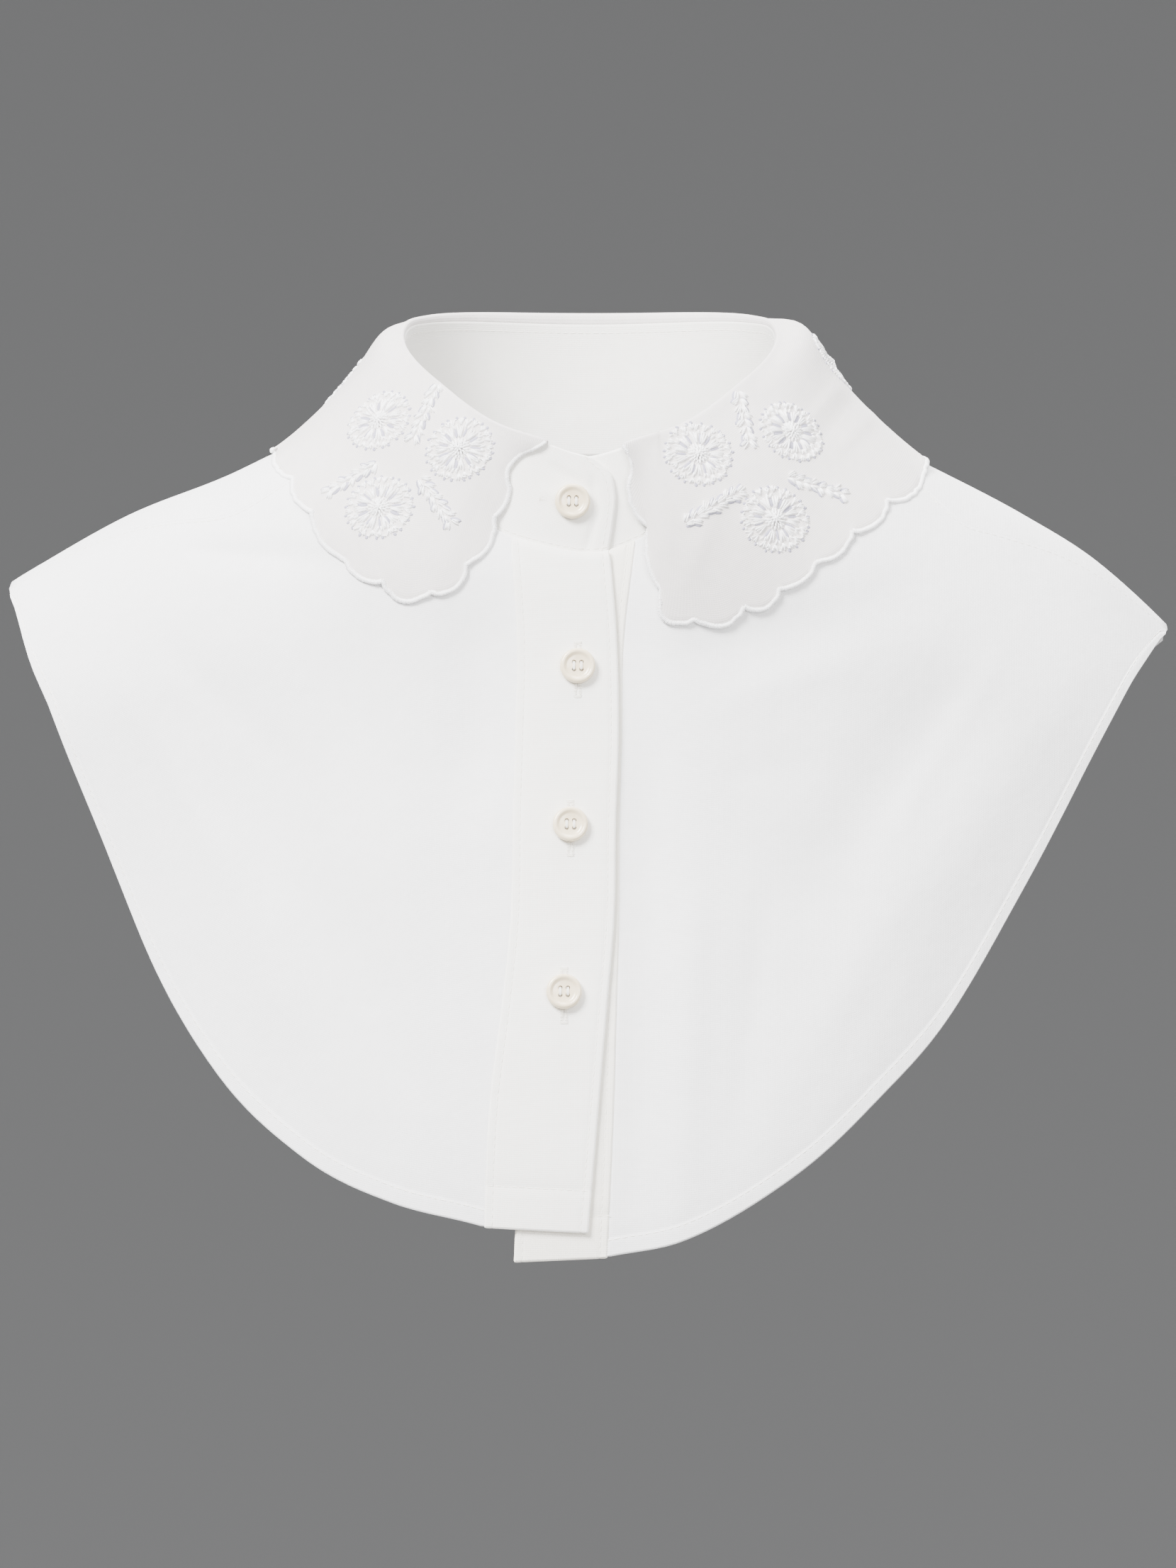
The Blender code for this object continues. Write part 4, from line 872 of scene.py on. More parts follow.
start = roll[:, -1]
fall = edge - start
size = smooth_step(0, LEAF_FULL_FALL, np.linalg.norm(fall, axis=1))
bulge = smooth_curve(LEAF_BULGE, angles)[:, 0]
control = start + fall * LEAF_BOW_AT + out * (2 * bulge * size)[:, None]
t = (np.arange(1, LEAF_FALL_ROWS + 1) / LEAF_FALL_ROWS)[None, :, None]
fallen = start[:, None] * (1 - t) ** 2 + control[:, None] * 2 * t * (1 - t) + edge[:, None] * t * t
for evening in (60, 40, 25):
    x, y, z = (fallen[..., k] for k in range(3))
    cover = front_cover_y(x, z) - LEAF_CLEAR
    fallen[..., 1] = np.where((y < TOP_CENTRE_Y) & (z < ridge_height(x)), soft_least(y, cover, 0.4), y)
    on_shoulder = (np.abs(x) > NECK_HALF_WIDTH + SHOULDER_MARGIN) & (np.abs(y) < SHOULDER_TOP_DEPTH)
    rest = -soft_least(-z, -shoulder_cover(x, y) - LEAF_CLEAR, 0.4)
    fallen[..., 2] = np.where(on_shoulder, rest, z)
    fallen[:, -1] = edge
    leaf_points = even_out(np.concatenate([roll[:, -3:-1], fallen], axis=1), evening)
    fallen = leaf_points[:, 2:]
print("the longest fall:", np.linalg.norm(fall, axis=1).max().round(1), "mm")

# %% Fuller corners under the fold
fullness = smooth_curve(LEAF_CORNERS, angles)[:, 0]
level_fall = np.sum(fall * out, axis=1)
off_fall = unit(np.array([0, 0, 1.0]) * level_fall[:, None] - out * fall[:, 2:])
early = t[..., 0] / CORNER_AT
filled = fullness[:, None] * early * np.exp(1 - early) * (1 - t[..., 0])
leaf_points[:, 2:] += off_fall[:, None, :] * filled[..., None]
leaf_points = np.concatenate([roll[:, :-3], leaf_points], axis=1)
# The rows on both sides of the fold are evened out once more, where the roll and the fall meet
around_fold = even_out(leaf_points[:, LEAF_ROLL_ROWS - 7 : LEAF_ROLL_ROWS + 7], 6)
leaf_points[:, LEAF_ROLL_ROWS - 6 : LEAF_ROLL_ROWS + 6] = around_fold[:, 1:-1]
print("the leaf's grid:", leaf_points.shape[:2])

# %% The leaf's cloth
# Small pulls in the stiffened cloth as (from across, from height, to across, to height, half width, rise)
LEAF_PULLS = (
    (70, 24, 82, 38, 1.6, 0.45), (75, 20, 87, 34, 1.6, -0.4), (80, 15, 92, 28, 1.8, 0.4),
    (30, -30, 42, 2, 4, 0.5), (-60, 34, -76, 12, 3, 0.4), (-46, -24, -40, 2, 4, 0.45),
    (-84, 2, -70, 24, 2.4, -0.4),
)
leaf_normals = -grid_normals(leaf_points)
pulls = fold_relief(leaf_points[..., 0], leaf_points[..., 2], LEAF_PULLS)
pulls = pulls * (leaf_points[..., 1] < 0) * smooth_step(0, 6, np.arange(pulls.shape[1]))[None, :]
leaf_shell = cloth_shell(
    "leaf_cloth", leaf_points, leaf_normals, LEAF_WALL / 2 + pulls, -LEAF_WALL / 2 + pulls * 0.5,
    arc_map(leaf_points), leaf_poplin,
)
mount_piece(leaf_shell, ["collar_leaf"])

# %% [markdown]
# ## Thread work
# Everything sewn on this collar is made of the same thing: a short length of thread that lies on
# the cloth between two needle holes. One Geometry Nodes tree makes them all. It takes a cloud of
# points that say where a stitch lies, which way it runs, which way is out and how large it is, and
# puts one small thread shape on each. Placing them as points keeps the shape cheap to change.

# %% The tree that lays threads
def thread_tree():
    """A tree that puts a thread on every point, sized and turned by the point's own attributes."""
    tree = bpy.data.node_groups.new("threads on cloth", "GeometryNodeTree")
    face = tree.interface
    face.new_socket("Points", in_out="INPUT", socket_type="NodeSocketGeometry")
    for title, kind, value in (
        ("Thread sides", "NodeSocketInt", 6),
        ("Thread rings", "NodeSocketInt", 4),
        ("Unevenness", "NodeSocketFloat", 0.1),
        ("Seed", "NodeSocketInt", 7),
        ("Finish", "NodeSocketMaterial", None),
    ):
        socket = face.new_socket(title, in_out="INPUT", socket_type=kind)
        if value is not None:
            socket.default_value = value
    face.new_socket("Threads", in_out="OUTPUT", socket_type="NodeSocketGeometry")
    given = add_node(tree, "NodeGroupInput").outputs
    named = "GeometryNodeInputNamedAttribute"
    lie, out_way, span = (
        add_node(tree, named, {"Name": key}, data_type="FLOAT_VECTOR").outputs[0]
        for key in ("lie", "face", "span")
    )
    thread = add_node(
        tree, "GeometryNodeMeshUVSphere", {"Radius": 0.5},
        {"Segments": given["Thread sides"], "Rings": given["Thread rings"]},
    )
    laid = add_node(
        tree, "GeometryNodeTransform", {"Rotation": (0.0, math.pi / 2, 0.0)},
        {"Geometry": thread.outputs["Mesh"]},
    )
    soft = add_node(tree, "GeometryNodeSetShadeSmooth", links={"Geometry": laid.outputs[0]})
    along = add_node(tree, "FunctionNodeAlignRotationToVector", links={"Vector": lie}, axis="X")
    turned = add_node(
        tree, "FunctionNodeAlignRotationToVector",
        links={"Rotation": along.outputs[0], "Vector": out_way}, axis="Z", pivot_axis="X",
    )
    smallest = add_node(tree, "ShaderNodeMath", {0: 1.0}, {1: given["Unevenness"]}, operation="SUBTRACT")
    largest = add_node(tree, "ShaderNodeMath", {0: 1.0}, {1: given["Unevenness"]}, operation="ADD")
    uneven = add_node(
        tree, "FunctionNodeRandomValue",
        links={2: smallest.outputs[0], 3: largest.outputs[0], "Seed": given["Seed"]}, data_type="FLOAT",
    )
    sized = add_node(
        tree, "ShaderNodeVectorMath", links={0: span, 3: uneven.outputs[1]}, operation="SCALE"
    )
    placed = add_node(
        tree,
        "GeometryNodeInstanceOnPoints",
        links={
            "Points": given["Points"],
            "Instance": soft.outputs[0],
            "Rotation": turned.outputs[0],
            "Scale": sized.outputs[0],
        },
    )
    real = add_node(tree, "GeometryNodeRealizeInstances", links={0: placed.outputs[0]})
    finished = add_node(
        tree, "GeometryNodeSetMaterial",
        links={"Geometry": real.outputs[0], "Material": given["Finish"]},
    )
    add_node(tree, "NodeGroupOutput", links={0: finished.outputs[0]})
    return tree


threads_on_cloth = thread_tree()
print("nodes in the tree:", len(threads_on_cloth.nodes))


# %% Gathering threads, and turning them into a piece
class ThreadWork:
    """Threads of one finish: the middle, direction, outward side and size of each."""

    def __init__(self):
        self.middle, self.lie, self.face, self.span = [], [], [], []

    def lay(self, middle, lie, face, length, width, height):
        """Lays threads on the cloth: arrays of places and directions, and sizes in millimetres."""
        middle = np.atleast_2d(middle)
        self.middle.append(middle)
        self.lie.append(np.broadcast_to(lie, middle.shape))
        self.face.append(np.broadcast_to(face, middle.shape))
        self.span.append(np.broadcast_to(np.array([length, width, height]), middle.shape))

    def make(self, name, finish, seed, sides=6, rings=4, unevenness=0.1):
        """The piece: every thread as one plain mesh."""
        cloud = bpy.data.meshes.new(name)
        middle = np.concatenate(self.middle) * MM
        cloud.from_pydata(middle.tolist(), [], [])
        for key, rows, factor in (("lie", self.lie, 1), ("face", self.face, 1), ("span", self.span, MM)):
            values = cloud.attributes.new(key, "FLOAT_VECTOR", "POINT")
            values.data.foreach_set("vector", (np.concatenate(rows) * factor).ravel())
        holder = add_object(name + "_points", cloud)
        modifier = holder.modifiers.new("threads", "NODES")
        modifier.node_group = threads_on_cloth
        wanted = {"Thread sides": sides, "Thread rings": rings, "Unevenness": unevenness}
        wanted |= {"Seed": seed, "Finish": finish}
        for item in threads_on_cloth.interface.items_tree:
            if item.in_out == "INPUT" and item.name in wanted:
                modifier[item.identifier] = wanted[item.name]
        graph = bpy.context.evaluated_depsgraph_get()
        mesh = bpy.data.meshes.new_from_object(holder.evaluated_get(graph), depsgraph=graph)
        mesh.name = name
        holder.modifiers.remove(modifier)
        bpy.data.objects.remove(holder)
        print(name, len(middle), "threads,", len(mesh.polygons), "faces")
        return add_object(name, mesh)


# %% Lines to sew along
def read_along(at, lengths, values):
    """Values at some lengths along a path that has them at its own points."""
    return np.column_stack([np.interp(at, lengths, values[:, k]) for k in range(3)])


def spaced(path, normals, pitch):
    """Evenly spaced middles, directions and normals along a path."""
    steps = np.linalg.norm(np.diff(path, axis=0), axis=1)
    lengths = np.concatenate([[0.0], np.cumsum(steps)])
    at = np.arange(pitch / 2, lengths[-1], pitch)
    before = read_along(at - pitch / 4, lengths, path)
    after = read_along(at + pitch / 4, lengths, path)
    return read_along(at, lengths, path), unit(after - before), unit(read_along(at, lengths, normals))


def line_inside(name, side, inset, low_face=False):
    """A line on a sheet, some millimetres in from one side of its grid, and its normals."""
    top, low, normals = SHEETS[name]
    points = low if low_face else top
    if side in ("first line", "last line"):
        points, normals = points.transpose(1, 0, 2), normals.transpose(1, 0, 2)
    if side in ("last row", "last line"):
        points, normals = points[:, ::-1], normals[:, ::-1]
    steps = np.linalg.norm(np.diff(points, axis=1), axis=-1)
    lengths = np.concatenate([np.zeros((len(points), 1)), np.cumsum(steps, axis=1)], axis=1)
    found, facing = [], []
    for line, normal, run in zip(points, normals, lengths):
        if run[-1] > inset:
            found.append(read_along(inset, run, line)[0])
            facing.append(read_along(inset, run, normal)[0])
    return np.array(found), np.array(facing)


print("points 2 mm up the stand:", len(line_inside("stand_cloth", "first row", 2.0)[0]))

# %% [markdown]
# ## The corded edge of the leaf
# The scallops are finished with a cord under close satin stitches, so that the edge is a firm
# white bead about 1.6 mm wide. A swept tube would be smooth. Stitches laid across the edge side by
# side give the fine ribs that the real one has, and a slight waver keeps the bead from looking cast.

# %% Satin stitches over the edge
CORD_WIDTH, CORD_THREAD, CORD_PITCH, CORD_WAVER = 1.55, 0.56, 0.42, 0.16
cord = ThreadWork()
middle, along, face = spaced(leaf_points[:, -1], leaf_normals[:, -1], CORD_PITCH)
run = np.arange(len(middle))[:, None] * CORD_PITCH
middle = middle + np.cross(along, face) * CORD_WAVER * np.sin(run * 0.9 + 2.0 * np.sin(run * 0.37))
cord.lay(middle, unit(np.cross(along, face)), face, CORD_WIDTH + 0.35, CORD_THREAD, CORD_WIDTH)
for end in (0, -1):
    path, sides = leaf_points[end, LEAF_ROLL_ROWS:], leaf_normals[end, LEAF_ROLL_ROWS:]
    middle, along, face = spaced(path, sides, CORD_PITCH)
    cord.lay(middle, unit(np.cross(along, face)), face, CORD_WIDTH, CORD_THREAD, CORD_WIDTH - 0.2)
corded_edge = cord.make("leaf_corded_edge", white_floss, seed=3, unevenness=0.06)
mount_piece(corded_edge, [])

# %% [markdown]
# ## The flowers and sprigs
# The rosettes are white satin stitch. Each has a padded middle, a ring of narrow petals with holes
# between them, a fringe of short tufts and a rim of small knots. The sprigs are rows of leaflets in
# pairs, with holes among them. They are planned flat around a point of the leaf, and every stitch is
# then dropped onto the curved cloth, so that a flower wraps round the fold as the real one does.
# The holes are not cut: the shade inside each is painted, as a flat grey-lilac thread.

# %% Where the flowers and sprigs are
# As (view from, across, height, turn), and sprigs as (view from, across, height, across, height)
FLOWERS = (
    (0, -68.4, 25.2, 10), (0, -42.2, 15.6, 40), (0, -67.9, -3.4, 75), (0, 35, 13.8, 20),
    (0, 65.4, 21.4, 55), (0, 59.7, -7.3, 5), (90, 6, 45, 30), (95, 30, 28, 0), (-90, -12, 38, 65),
    (-120, 14, 24, 25), (180, -64, 31, 15), (180, -23, 25, 50), (180, 22, 33, 80), (180, 64, 26, 35),
)
SPRIGS = (
    (0, -51, 38, -55, 19), (0, -69.5, 11.5, -83, 1.6), (0, -55.5, 6.2, -44.4, -8),
    (0, 49.2, 35.6, 49.9, 16.9), (0, 30.3, -9, 48, 1.6), (0, 64, 6.6, 81, 0.6), (180, 0, 44, -2, 24),
    (180, -44, 44, -42, 24), (180, 44, 46, 42, 26),
)
print("flowers:", len(FLOWERS), "and sprigs:", len(SPRIGS))

# %% The outer face of the leaf, to lay stitches on
outer_leaf = SHEETS["leaf_cloth"][0]
count_v = outer_leaf.shape[1]
leaf_faces = [
    (u * count_v + v, (u + 1) * count_v + v, (u + 1) * count_v + v + 1, u * count_v + v + 1)
    for u in range(outer_leaf.shape[0] - 1)
    for v in range(count_v - 1)
]
leaf_tree = BVHTree.FromPolygons(outer_leaf.reshape(-1, 3).tolist(), leaf_faces)
print("faces to lay on:", len(leaf_faces))


# %% Stitches on the curved leaf
satin, holes = ThreadWork(), ThreadWork()
chance = np.random.default_rng(21)


def plan_at(view, across, height, turn=0.0):
    """A flat plan that touches the leaf where a level view from one side meets it."""
    angle = math.radians(view)
    right = Vector((math.cos(angle), math.sin(angle), 0))
    towards = Vector((-math.sin(angle), math.cos(angle), 0))
    eye = right * across + Vector((0, 0, height)) - towards * 400
    place, normal, _, _ = leaf_tree.ray_cast(eye, towards)
    normal = normal if normal.dot(towards) < 0 else -normal
    side = Vector((0, 0, 1)).cross(normal).normalized()
    up = normal.cross(side)
    tilt = math.radians(turn)
    turned_side = side * math.cos(tilt) + up * math.sin(tilt)
    return place, turned_side, normal.cross(turned_side), normal


def lay_on_leaf(work, plan, a, b, angle, length, width, height, lift=0.0):
    """Lays one stitch at a place of the plan, turned by an angle, dropped onto the cloth."""
    place, side, up, normal = plan
    a, b = a + chance.normal(0, 0.1), b + chance.normal(0, 0.1)
    near, found, _, _ = leaf_tree.find_nearest(place + side * a + up * b)
    found = found if found.dot(normal) > 0 else -found
    angle = angle + chance.normal(0, 0.06)
    lie = side * math.cos(angle) + up * math.sin(angle)
    lie = (lie - found * lie.dot(found)).normalized()
    work.lay(np.array(near + found * lift), np.array(lie), np.array(found), length, width, height)


def round_plan(work, plan, radius, angle, aside, splay, size, lift=0.0):
    """Lays one stitch at a distance and angle round the middle of a flower, moved and turned a little."""
    across, onward = math.cos(angle), math.sin(angle)
    a = radius * across - aside * onward
    b = radius * onward + aside * across
    lay_on_leaf(work, plan, a, b, angle + splay, *size, lift)


print("the front of the left leaf faces", [round(c, 2) for c in plan_at(0.0, 50.0, 10.0)[3]])

# %% One flower
# Rings of the padded middle as (radius, stitches, lift)
FLOWER_MIDDLE = ((0.2, 4, 1.1), (1.1, 8, 0.85), (2.1, 14, 0.5), (2.9, 18, 0.2))
FLOWER_PETALS, FLOWER_TUFTS = 11, 24
# Millimetres from the middle to the holes, petals, petal ends, tufts, knots and the holes of the rim
HOLE_RING, PETAL_RING, ARCH_RING, TUFT_RING, KNOT_RING, RIM_RING = 5.7, 5.9, 8.2, 9.6, 10.6, 11.2
# Stitches as (length, width, height)
PAD_STITCH, ARCH_STITCH = (1.8, 0.75, 1.2), (1.9, 0.7, 1.3)
# The holes of the petals and of the rim are dark threads of painted shade
KNOT_STITCH, RIM_HOLE_SHADE = (1.2, 0.6, 1.1), (1.35, 1.1, 0.5)


def embroider_flower(plan):
    """One rosette: middle, petals with holes of painted shade between, fringe and knots."""
    for radius, count, lift in FLOWER_MIDDLE:
        for k in range(count):
            round_plan(satin, plan, radius, 2 * math.pi * (k + radius) / count, 0, 0, PAD_STITCH, lift)
    for k in range(FLOWER_PETALS):
        angle = 2 * math.pi * k / FLOWER_PETALS + chance.normal(0, 0.05)
        hole_length, hole_width = chance.uniform(3.2, 4.6), chance.uniform(0.9, 1.7)
        round_plan(holes, plan, HOLE_RING, angle, 0, 0, (hole_length, hole_width, 0.3))
        between = angle + math.pi / FLOWER_PETALS
        for aside, splay in ((-0.6, -0.2), (0.0, 0.0), (0.6, 0.2)):
            length = chance.uniform(4.0, 5.6)
            round_plan(satin, plan, PETAL_RING, between, aside, splay, (length, 0.7, 1.6), 0.15)
        for aside in (-0.7, 0.5):
            reach = ARCH_RING - 0.4 * abs(aside)
            round_plan(satin, plan, reach, angle, aside, aside * 0.6, ARCH_STITCH, 0.1)
    for k in range(FLOWER_TUFTS):
        angle = 2 * math.pi * (k + 0.5) / FLOWER_TUFTS + chance.normal(0, 0.04)
        reach = TUFT_RING + 0.4 * (k % 2) + chance.normal(0, 0.25)
        for splay in (-0.38, 0.05, 0.42):
            size = (chance.uniform(1.9, 3.0), 0.62, 1.4)
            round_plan(satin, plan, reach, angle + splay * 0.12, 0, splay, size, 0.1)
        knot = angle + math.pi / FLOWER_TUFTS
        round_plan(holes, plan, RIM_RING, knot, 0, 0.4, RIM_HOLE_SHADE)
        round_plan(satin, plan, KNOT_RING, knot, 0.5, 1.2, KNOT_STITCH, 0.1)


print("a flower is about", 2 * RIM_RING, "mm across")

# %% One sprig
# Millimetres from one pair of leaflets to the next, and from the middle line to a leaflet
LEAFLET_PITCH, LEAFLET_REACH = 2.3, 1.6


def embroider_sprig(view, from_x, from_z, to_x, to_z):
    """One sprig: pairs of leaflets of three satin stitches, most of them beside a hole of painted shade.
    """
    plan = plan_at(view, (from_x + to_x) / 2, (from_z + to_z) / 2)
    length = math.hypot(to_x - from_x, to_z - from_z)
    run = math.atan2(to_z - from_z, to_x - from_x)
    across, onward = math.cos(run), math.sin(run)
    for k, at in enumerate(np.linspace(-0.5, 0.5, round(length / LEAFLET_PITCH)) * length):
        for side in (-1, 1):
            lean = run + side * (0.6 + 0.3 * math.sin(k * 2.1 + side))
            a = at * across + LEAFLET_REACH * math.cos(lean) - side * 0.5 * onward
            b = at * onward + LEAFLET_REACH * math.sin(lean) + side * 0.5 * across
            aside, ahead = -side * math.sin(lean), side * math.cos(lean)
            if (k + side) % 3 != 1:
                lay_on_leaf(holes, plan, a + 0.5 * aside, b + 0.5 * ahead, lean, 3.6, 1.7, 0.5)
            for spread in (-0.75, -0.25, 0.25):
                place = (a + spread * aside, b + spread * ahead)
                turned = lean + side * spread * 0.25
                lay_on_leaf(satin, plan, *place, turned, chance.uniform(2.6, 4.0), 0.6, 1.5, 0.15)


sprig_length = math.dist(SPRIGS[0][1:3], SPRIGS[0][3:])
print("leaflets on the first sprig:", 2 * round(sprig_length / LEAFLET_PITCH))

# %% Embroider the leaf
for row in FLOWERS:
    embroider_flower(plan_at(*row))
flower_nodes = sorted(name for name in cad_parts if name.startswith("flower_"))
flower_satin = satin.make("flower_satin", white_floss, seed=5)
mount_piece(flower_satin, flower_nodes)
satin = ThreadWork()
for row in SPRIGS:
    embroider_sprig(*row)
sprig_satin = satin.make("sprig_satin", white_floss, seed=6)
mount_piece(sprig_satin, sorted(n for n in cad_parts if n.startswith("sprig_")))
# The holes are dark threads of painted shade
embroidery_hole_shade = holes.make("embroidery_hole_shade", painted_hole_shade, seed=8)
mount_piece(embroidery_hole_shade, [])

# %% [markdown]
# ## Machine stitching
# Hems, bands and the stand are held by lines of lockstitch: short stitches about 2.2 mm long, each
# dipping into a needle hole at both ends. They are laid on lines that run a fixed distance inside
# the edge of each sheet.

# %% Lines of stitches
# Millimetres from hole to hole, of thread that shows, and of its thickness
STITCH_PITCH, STITCH_LENGTH, THREAD = 2.5, 2.15, 0.34
# The fronts' shoulder seams are sewn, but not where the leaf covers them near the neck
SEWN_FROM = NECK_HALF_WIDTH + 14
sewing = ThreadWork()


def sew_line(name, side, inset, low_face=False, keep=None):
    """Sews along one side of a sheet."""
    path, normals = line_inside(name, side, inset, low_face)
    normals = -normals if low_face else normals
    middle, along, face = spaced(path, normals, STITCH_PITCH)
    if keep is not None:
        kept = keep(middle)
        middle, along, face = middle[kept], along[kept], face[kept]
    sewing.lay(middle - face * 0.02, along, face, STITCH_LENGTH, THREAD, THREAD)


for name in ("right_front_cloth", "left_front_cloth", "back_cloth"):
    sew_line(name, "last row", HEM_STITCH)
for name in ("right_front_cloth", "left_front_cloth"):
    sew_line(name, "first row", 1.4, keep=lambda places: np.abs(places[:, 0]) > SEWN_FROM)
for name in ("buttonhole_band", "button_band"):
    sew_line(name, "first line", BAND_STITCH)
    sew_line(name, "last line", BAND_STITCH)
    sew_line(name, "last row", BAND_HEM)
sew_line("stand_cloth", "first row", 1.6)
sew_line("stand_cloth", "first line", 1.8)
sew_line("stand_cloth", "last row", 2.6, low_face=True)
seam_stitching = sewing.make("seam_stitching", sewing_thread, seed=9, unevenness=0.05)
mount_piece(seam_stitching, [])

# %% [markdown]
# ## Buttons and buttonholes
# A shirt button is turned from shell: a flat back, a rounded rim and a dished middle with four
# holes. It is made as a turned profile with the holes cut by a Boolean, and the mesh is then set
# square on the cloth. Each buttonhole is a slit between two rows of close stitches.

# %% Sizes of the buttons and buttonholes
# Middles of the buttons as (across, height), from the stand down
BUTTONS = ((-5.5, -1.8), (-3.9, -54.9), (-6.2, -105.8), (-8.2, -159.1))
BUTTON_RADIUS, BUTTON_SIDES, BUTTON_SEAT = 5.7, 56, 0.45
# The turned outline as (part of the radius, height)
BUTTON_PROFILE = (
    (0, 0), (0.82, 0), (0.94, 0.25), (1, 0.8), (1, 1.35), (0.965, 1.85), (0.9, 2.15), (0.82, 2.2),
    (0.75, 2.05), (0.68, 1.6), (0.58, 1.42), (0.3, 1.36), (0, 1.35),
)
HOLE_RADIUS, HOLE_OFFSET, HOLE_SIDES = 0.72, 1.2, 16
# The bottom of the dish, where the threads cross from hole to hole
DISH_HEIGHT = 1.42
BUTTONHOLE_LENGTH, BUTTONHOLE_PITCH, BUTTONHOLE_ASIDE = 16.5, 0.46, 0.75
# The band's buttonholes are upright and a little low. The stand's is level, shorter and moved aside
BAND_HOLE_DROP, STAND_HOLE_ASIDE, STAND_HOLE_RISE, STAND_HOLE_PART = 1.0, 3.4, 1.6, 0.8
print("buttons:", len(BUTTONS), "of", 2 * BUTTON_RADIUS, "mm")


# %% Places on the bands
def cover_point(x, z):
    """A point on the outer face of the stand or of the buttonhole band."""
    low = neck_seam_point(math.degrees(math.asin(x / NECK_HALF_WIDTH)))
    if z > low[2]:
        return np.array((x, float(front_cover_y(x, z)), z))
    place = figure_point(x, turn_at(x, z, -1))
    return np.array((x, place[1] - BAND_TOP, z))


def seat_of(x, z):
    """The middle, directions and outward normal of a place on the band."""
    here = cover_point(x, z)
    beside = unit(cover_point(x + 1, z) - here)
    above = cover_point(x, z + 1) - here
    face = unit(np.cross(beside, above))
    return here, beside, np.cross(face, beside), face


def on_buttonhole(number, along, aside=0.0):
    """A place on a buttonhole, with its directions lengthways and crossways and outwards."""
    across, height = BUTTONS[number - 1]
    if number == 1:
        return seat_of(across - STAND_HOLE_ASIDE + along, height + STAND_HOLE_RISE + aside)
    here, beside, above, face = seat_of(across + aside, height - BAND_HOLE_DROP + along)
    return here, above, beside, face


print("the second button faces:", seat_of(*BUTTONS[1])[3].round(2))


# %% A turned button
def button_drills():
    """The mesh of four upright pins, which cut the holes."""
    drills = bmesh.new()
    for x in (-HOLE_OFFSET, HOLE_OFFSET):
        for y in (-HOLE_OFFSET, HOLE_OFFSET):
            bmesh.ops.create_cone(
                drills, cap_ends=True, segments=HOLE_SIDES, radius1=HOLE_RADIUS * MM,
                radius2=HOLE_RADIUS * MM, depth=6 * MM, matrix=Matrix.Translation((x * MM, y * MM, MM)),
            )
    mesh = bpy.data.meshes.new("button drills")
    drills.to_mesh(mesh)
    drills.free()
    return mesh


def turned_button():
    """The mesh of a button about +Z, with four holes."""
    mesh = bmesh.new()
    rings = []
    angles = 2 * math.pi * np.arange(BUTTON_SIDES) / BUTTON_SIDES
    for part, height in BUTTON_PROFILE:
        if part == 0:
            rings.append([mesh.verts.new((0, 0, height * MM))] * BUTTON_SIDES)
            continue
        reach = part * BUTTON_RADIUS * MM
        circle = [(math.cos(a) * reach, math.sin(a) * reach, height * MM) for a in angles]
        rings.append([mesh.verts.new(place) for place in circle])
    for lower, upper in zip(rings, rings[1:]):
        for k in range(BUTTON_SIDES):
            after = (k + 1) % BUTTON_SIDES
            mesh.faces.new(list(dict.fromkeys((lower[k], lower[after], upper[after], upper[k]))))
    bmesh.ops.recalc_face_normals(mesh, faces=mesh.faces)
    blank = bpy.data.meshes.new("button blank")
    mesh.to_mesh(blank)
    mesh.free()
    body = add_object("button blank", blank)
    drill = add_object("button drills", button_drills())
    cut = body.modifiers.new("holes", "BOOLEAN")
    cut.operation, cut.solver, cut.object = "DIFFERENCE", "EXACT", drill
    graph = bpy.context.evaluated_depsgraph_get()
    done = bpy.data.meshes.new_from_object(body.evaluated_get(graph), depsgraph=graph)
    for made in (body, drill):
        bpy.data.objects.remove(made)
    return done


button_mesh = turned_button()
print("faces on a button:", len(button_mesh.polygons))

# %% Set the buttons and work the holes
button_threads, hole_work, slits = ThreadWork(), ThreadWork(), ThreadWork()


def set_button(number):
    """Sets one button square on the cloth and sews it on."""
    here, beside, above, face = seat_of(*BUTTONS[number - 1])
    turn = Matrix(np.column_stack([beside, above, face]).tolist()).to_4x4()
    mesh = button_mesh.copy()
    mesh.transform(Matrix.Translation(Vector(here + face * BUTTON_SEAT) * MM) @ turn)
    mesh.materials.append(pearl)
    mesh.shade_smooth()
    mesh.set_sharp_from_angle(angle=math.radians(35))
    mount_piece(add_object(f"shell_button_{number}", mesh), [f"button_{number}"])
    top = here + face * (BUTTON_SEAT + DISH_HEIGHT)
    for aside in (-HOLE_OFFSET, HOLE_OFFSET):
        for strand in (-0.28, 0.0, 0.28):
            button_threads.lay(top + beside * (aside + strand), above, face, 3.1, 0.4, 0.55)
    button_threads.lay(here + face * 0.3, above, face, 3.4, 3.0, 0.9)


def work_buttonhole(number):
    """One slit of painted shade between two rows of close stitches, with a bar of long ones at each end.
    """
    size = STAND_HOLE_PART if number == 1 else 1.0
    for side in (-1, 1):
        for part in np.arange(-0.5, 0.5, BUTTONHOLE_PITCH / BUTTONHOLE_LENGTH):
            along = part * BUTTONHOLE_LENGTH * size
            here, _, crossways, face = on_buttonhole(number, along, side * BUTTONHOLE_ASIDE)
            hole_work.lay(here + face * 0.02, crossways, face, 1.25, 0.5, 0.4)
        end = side * (BUTTONHOLE_LENGTH / 2 + 0.4) * size
        for strand in (-0.3, 0.0, 0.3):
            here, _, crossways, face = on_buttonhole(number, end + strand)
            hole_work.lay(here + face * 0.02, crossways, face, 2.9, 0.45, 0.45)
    here, lengthways, _, face = on_buttonhole(number, 0.0)
    slits.lay(here, lengthways, face, BUTTONHOLE_LENGTH * size, 0.4, 0.25)


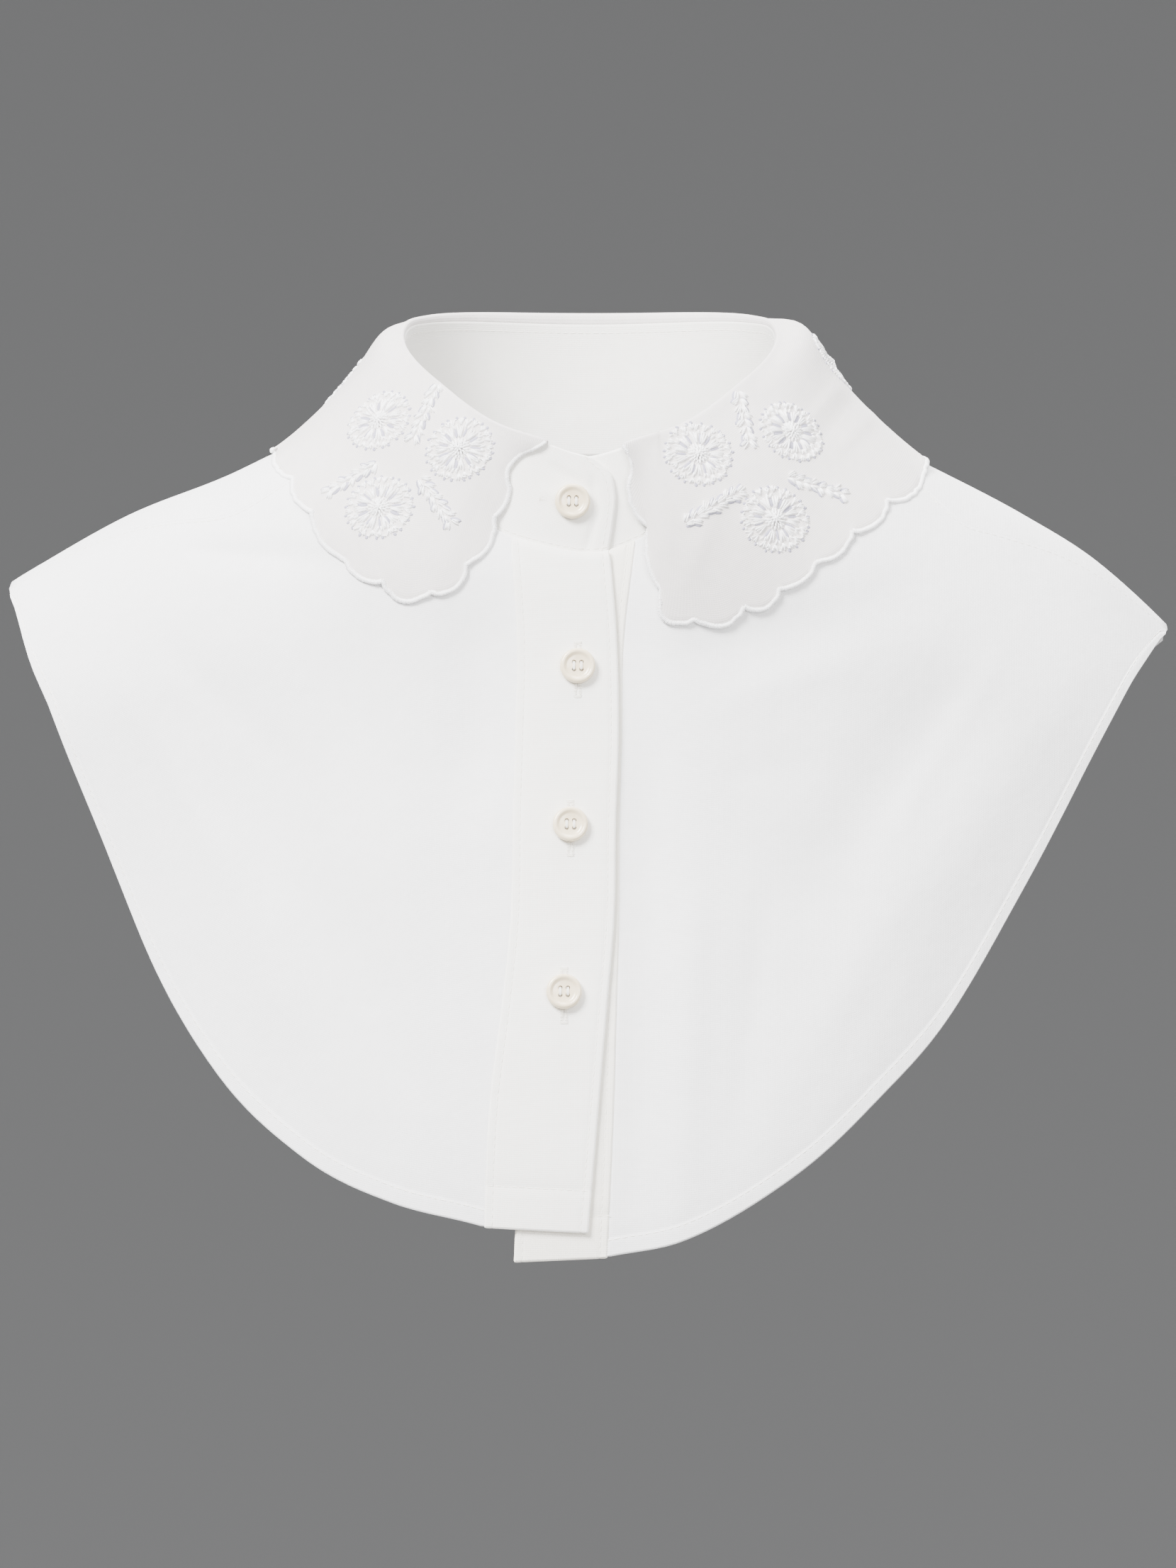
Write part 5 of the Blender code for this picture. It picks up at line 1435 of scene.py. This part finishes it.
for number in range(1, len(BUTTONS) + 1):
    set_button(number)
    work_buttonhole(number)
for made in (
    button_threads.make("button_threads", sewing_thread, seed=10, unevenness=0.03),
    hole_work.make("buttonhole_stitches", sewing_thread, seed=11, unevenness=0.08),
    slits.make("buttonhole_slit_shade", gap_shadow, seed=12, sides=8, rings=10, unevenness=0.0),
):
    mount_piece(made, [])

# %% [markdown]
# ## What the sheets were cut to
# A sheet of cloth hardly stretches, so each one is printed beside the flat size of its cut. The
# areas printed here are those of the faces that show.

def declare(made, area):
    """Prints how much of a sheet shows, beside the flat size of its cut."""
    # The closed sheet has two faces, so half its surface is what shows
    shown = sum(p.area for p in made.data.polygons) / 2
    print(made.name, "shows", round(shown, 4), "of", area, "square metres")


declare(right_front, 0.031)
declare(left_front, 0.033)
declare(back_cloth, 0.085)
declare(buttonhole_band, 0.0073)
declare(button_band, 0.0069)
declare(stand_shell, 0.013)
declare(leaf_shell, 0.031)

# %% [markdown]
# ## Floor, light and camera
# White cloth shows its folds only in soft light from one side, against something a little darker.
# A round grey sweep stands all round the collar, so that no edge of it shows from any side. The
# camera is level with the collar and four metres away, with a long lens, as the photo was taken.

# %% The sweep
FLOOR_HEIGHT, SWEEP_RADIUS, SWEEP_BEND, SWEEP_TOP = -1.0, 8.5, 5.0, 6.5
BEND_STEPS, SWEEP_SIDES = 24, 96
# Its section as (reach, height) in metres: level, then bent up, then upright
sweep_profile = [(0.02, 0.0), (1.0, 0.0), (SWEEP_RADIUS - SWEEP_BEND, 0.0)]
for k in range(1, BEND_STEPS + 1):
    angle = k / BEND_STEPS * math.pi / 2
    reach = SWEEP_RADIUS - SWEEP_BEND + SWEEP_BEND * math.sin(angle)
    sweep_profile.append((reach, SWEEP_BEND * (1 - math.cos(angle))))
sweep_profile.append((SWEEP_RADIUS, SWEEP_TOP))
sweep_points, sweep_faces, rows = [], [], len(sweep_profile)
for k in range(SWEEP_SIDES):
    angle = 2 * math.pi * k / SWEEP_SIDES
    across, onward = math.cos(angle), math.sin(angle)
    sweep_points += [(r * across, r * onward, FLOOR_HEIGHT + h) for r, h in sweep_profile]
    here, after = k * rows, (k + 1) % SWEEP_SIDES * rows
    for row in range(rows - 1):
        sweep_faces.append((here + row, here + row + 1, after + row + 1, after + row))
sweep_faces.append(tuple(k * rows for k in range(SWEEP_SIDES)))
sweep_mesh = bpy.data.meshes.new("studio_sweep")
sweep_mesh.from_pydata(sweep_points, [], sweep_faces)
sweep_mesh.shade_smooth()
# The paper is darker than it looks, because much light falls on it
paper, _, _ = new_material("grey background paper", Roughness=0.9, Base_Color=hex_colour("#5C5C5C"))
sweep_mesh.materials.append(paper)
sweep = add_object("studio_sweep", sweep_mesh)
print("faces of the sweep:", len(sweep_faces))

# %% The lights
# Large soft squares as (name, place, size, watts), which all face the middle of the collar
CENTRE = Vector((0.0, 0.0, -0.09))
for name, place, size, watts in (
    ("key light", (-1.9, -2.1, 2.4), 1.5, 640.0),
    ("fill light", (1.2, -3.4, 0.6), 1.8, 160.0),
    ("top light", (0.3, 0.2, 2.6), 1.6, 120.0),
    ("back light", (0.9, 2.8, 1.6), 1.6, 230.0),
):
    lamp_data = bpy.data.lights.new(name, "AREA")
    lamp_data.size, lamp_data.energy = size, watts
    lamp = add_object(name, lamp_data)
    lamp.location = place
    lamp.rotation_euler = (CENTRE - Vector(place)).to_track_quat("-Z", "Y").to_euler()
world = bpy.data.worlds.new("studio air")
world.use_nodes = True
air = world.node_tree.nodes["Background"].inputs
air["Color"].default_value = hex_colour("#F2F3F5")
air["Strength"].default_value = 1.75
bpy.context.scene.world = world
print("lights:", len(bpy.data.lights))

# %% The camera
camera_data = bpy.data.cameras.new("camera")
camera_data.sensor_width, camera_data.lens, camera_data.clip_end = 36.0, 285.5, 60.0
camera = add_object("camera", camera_data)
camera.location = (-0.0006, -4.06, -0.0926)
camera.rotation_euler = (math.pi / 2, 0.0, 0.0)
bpy.context.scene.camera = camera
print("camera at", [round(c, 3) for c in camera.location])
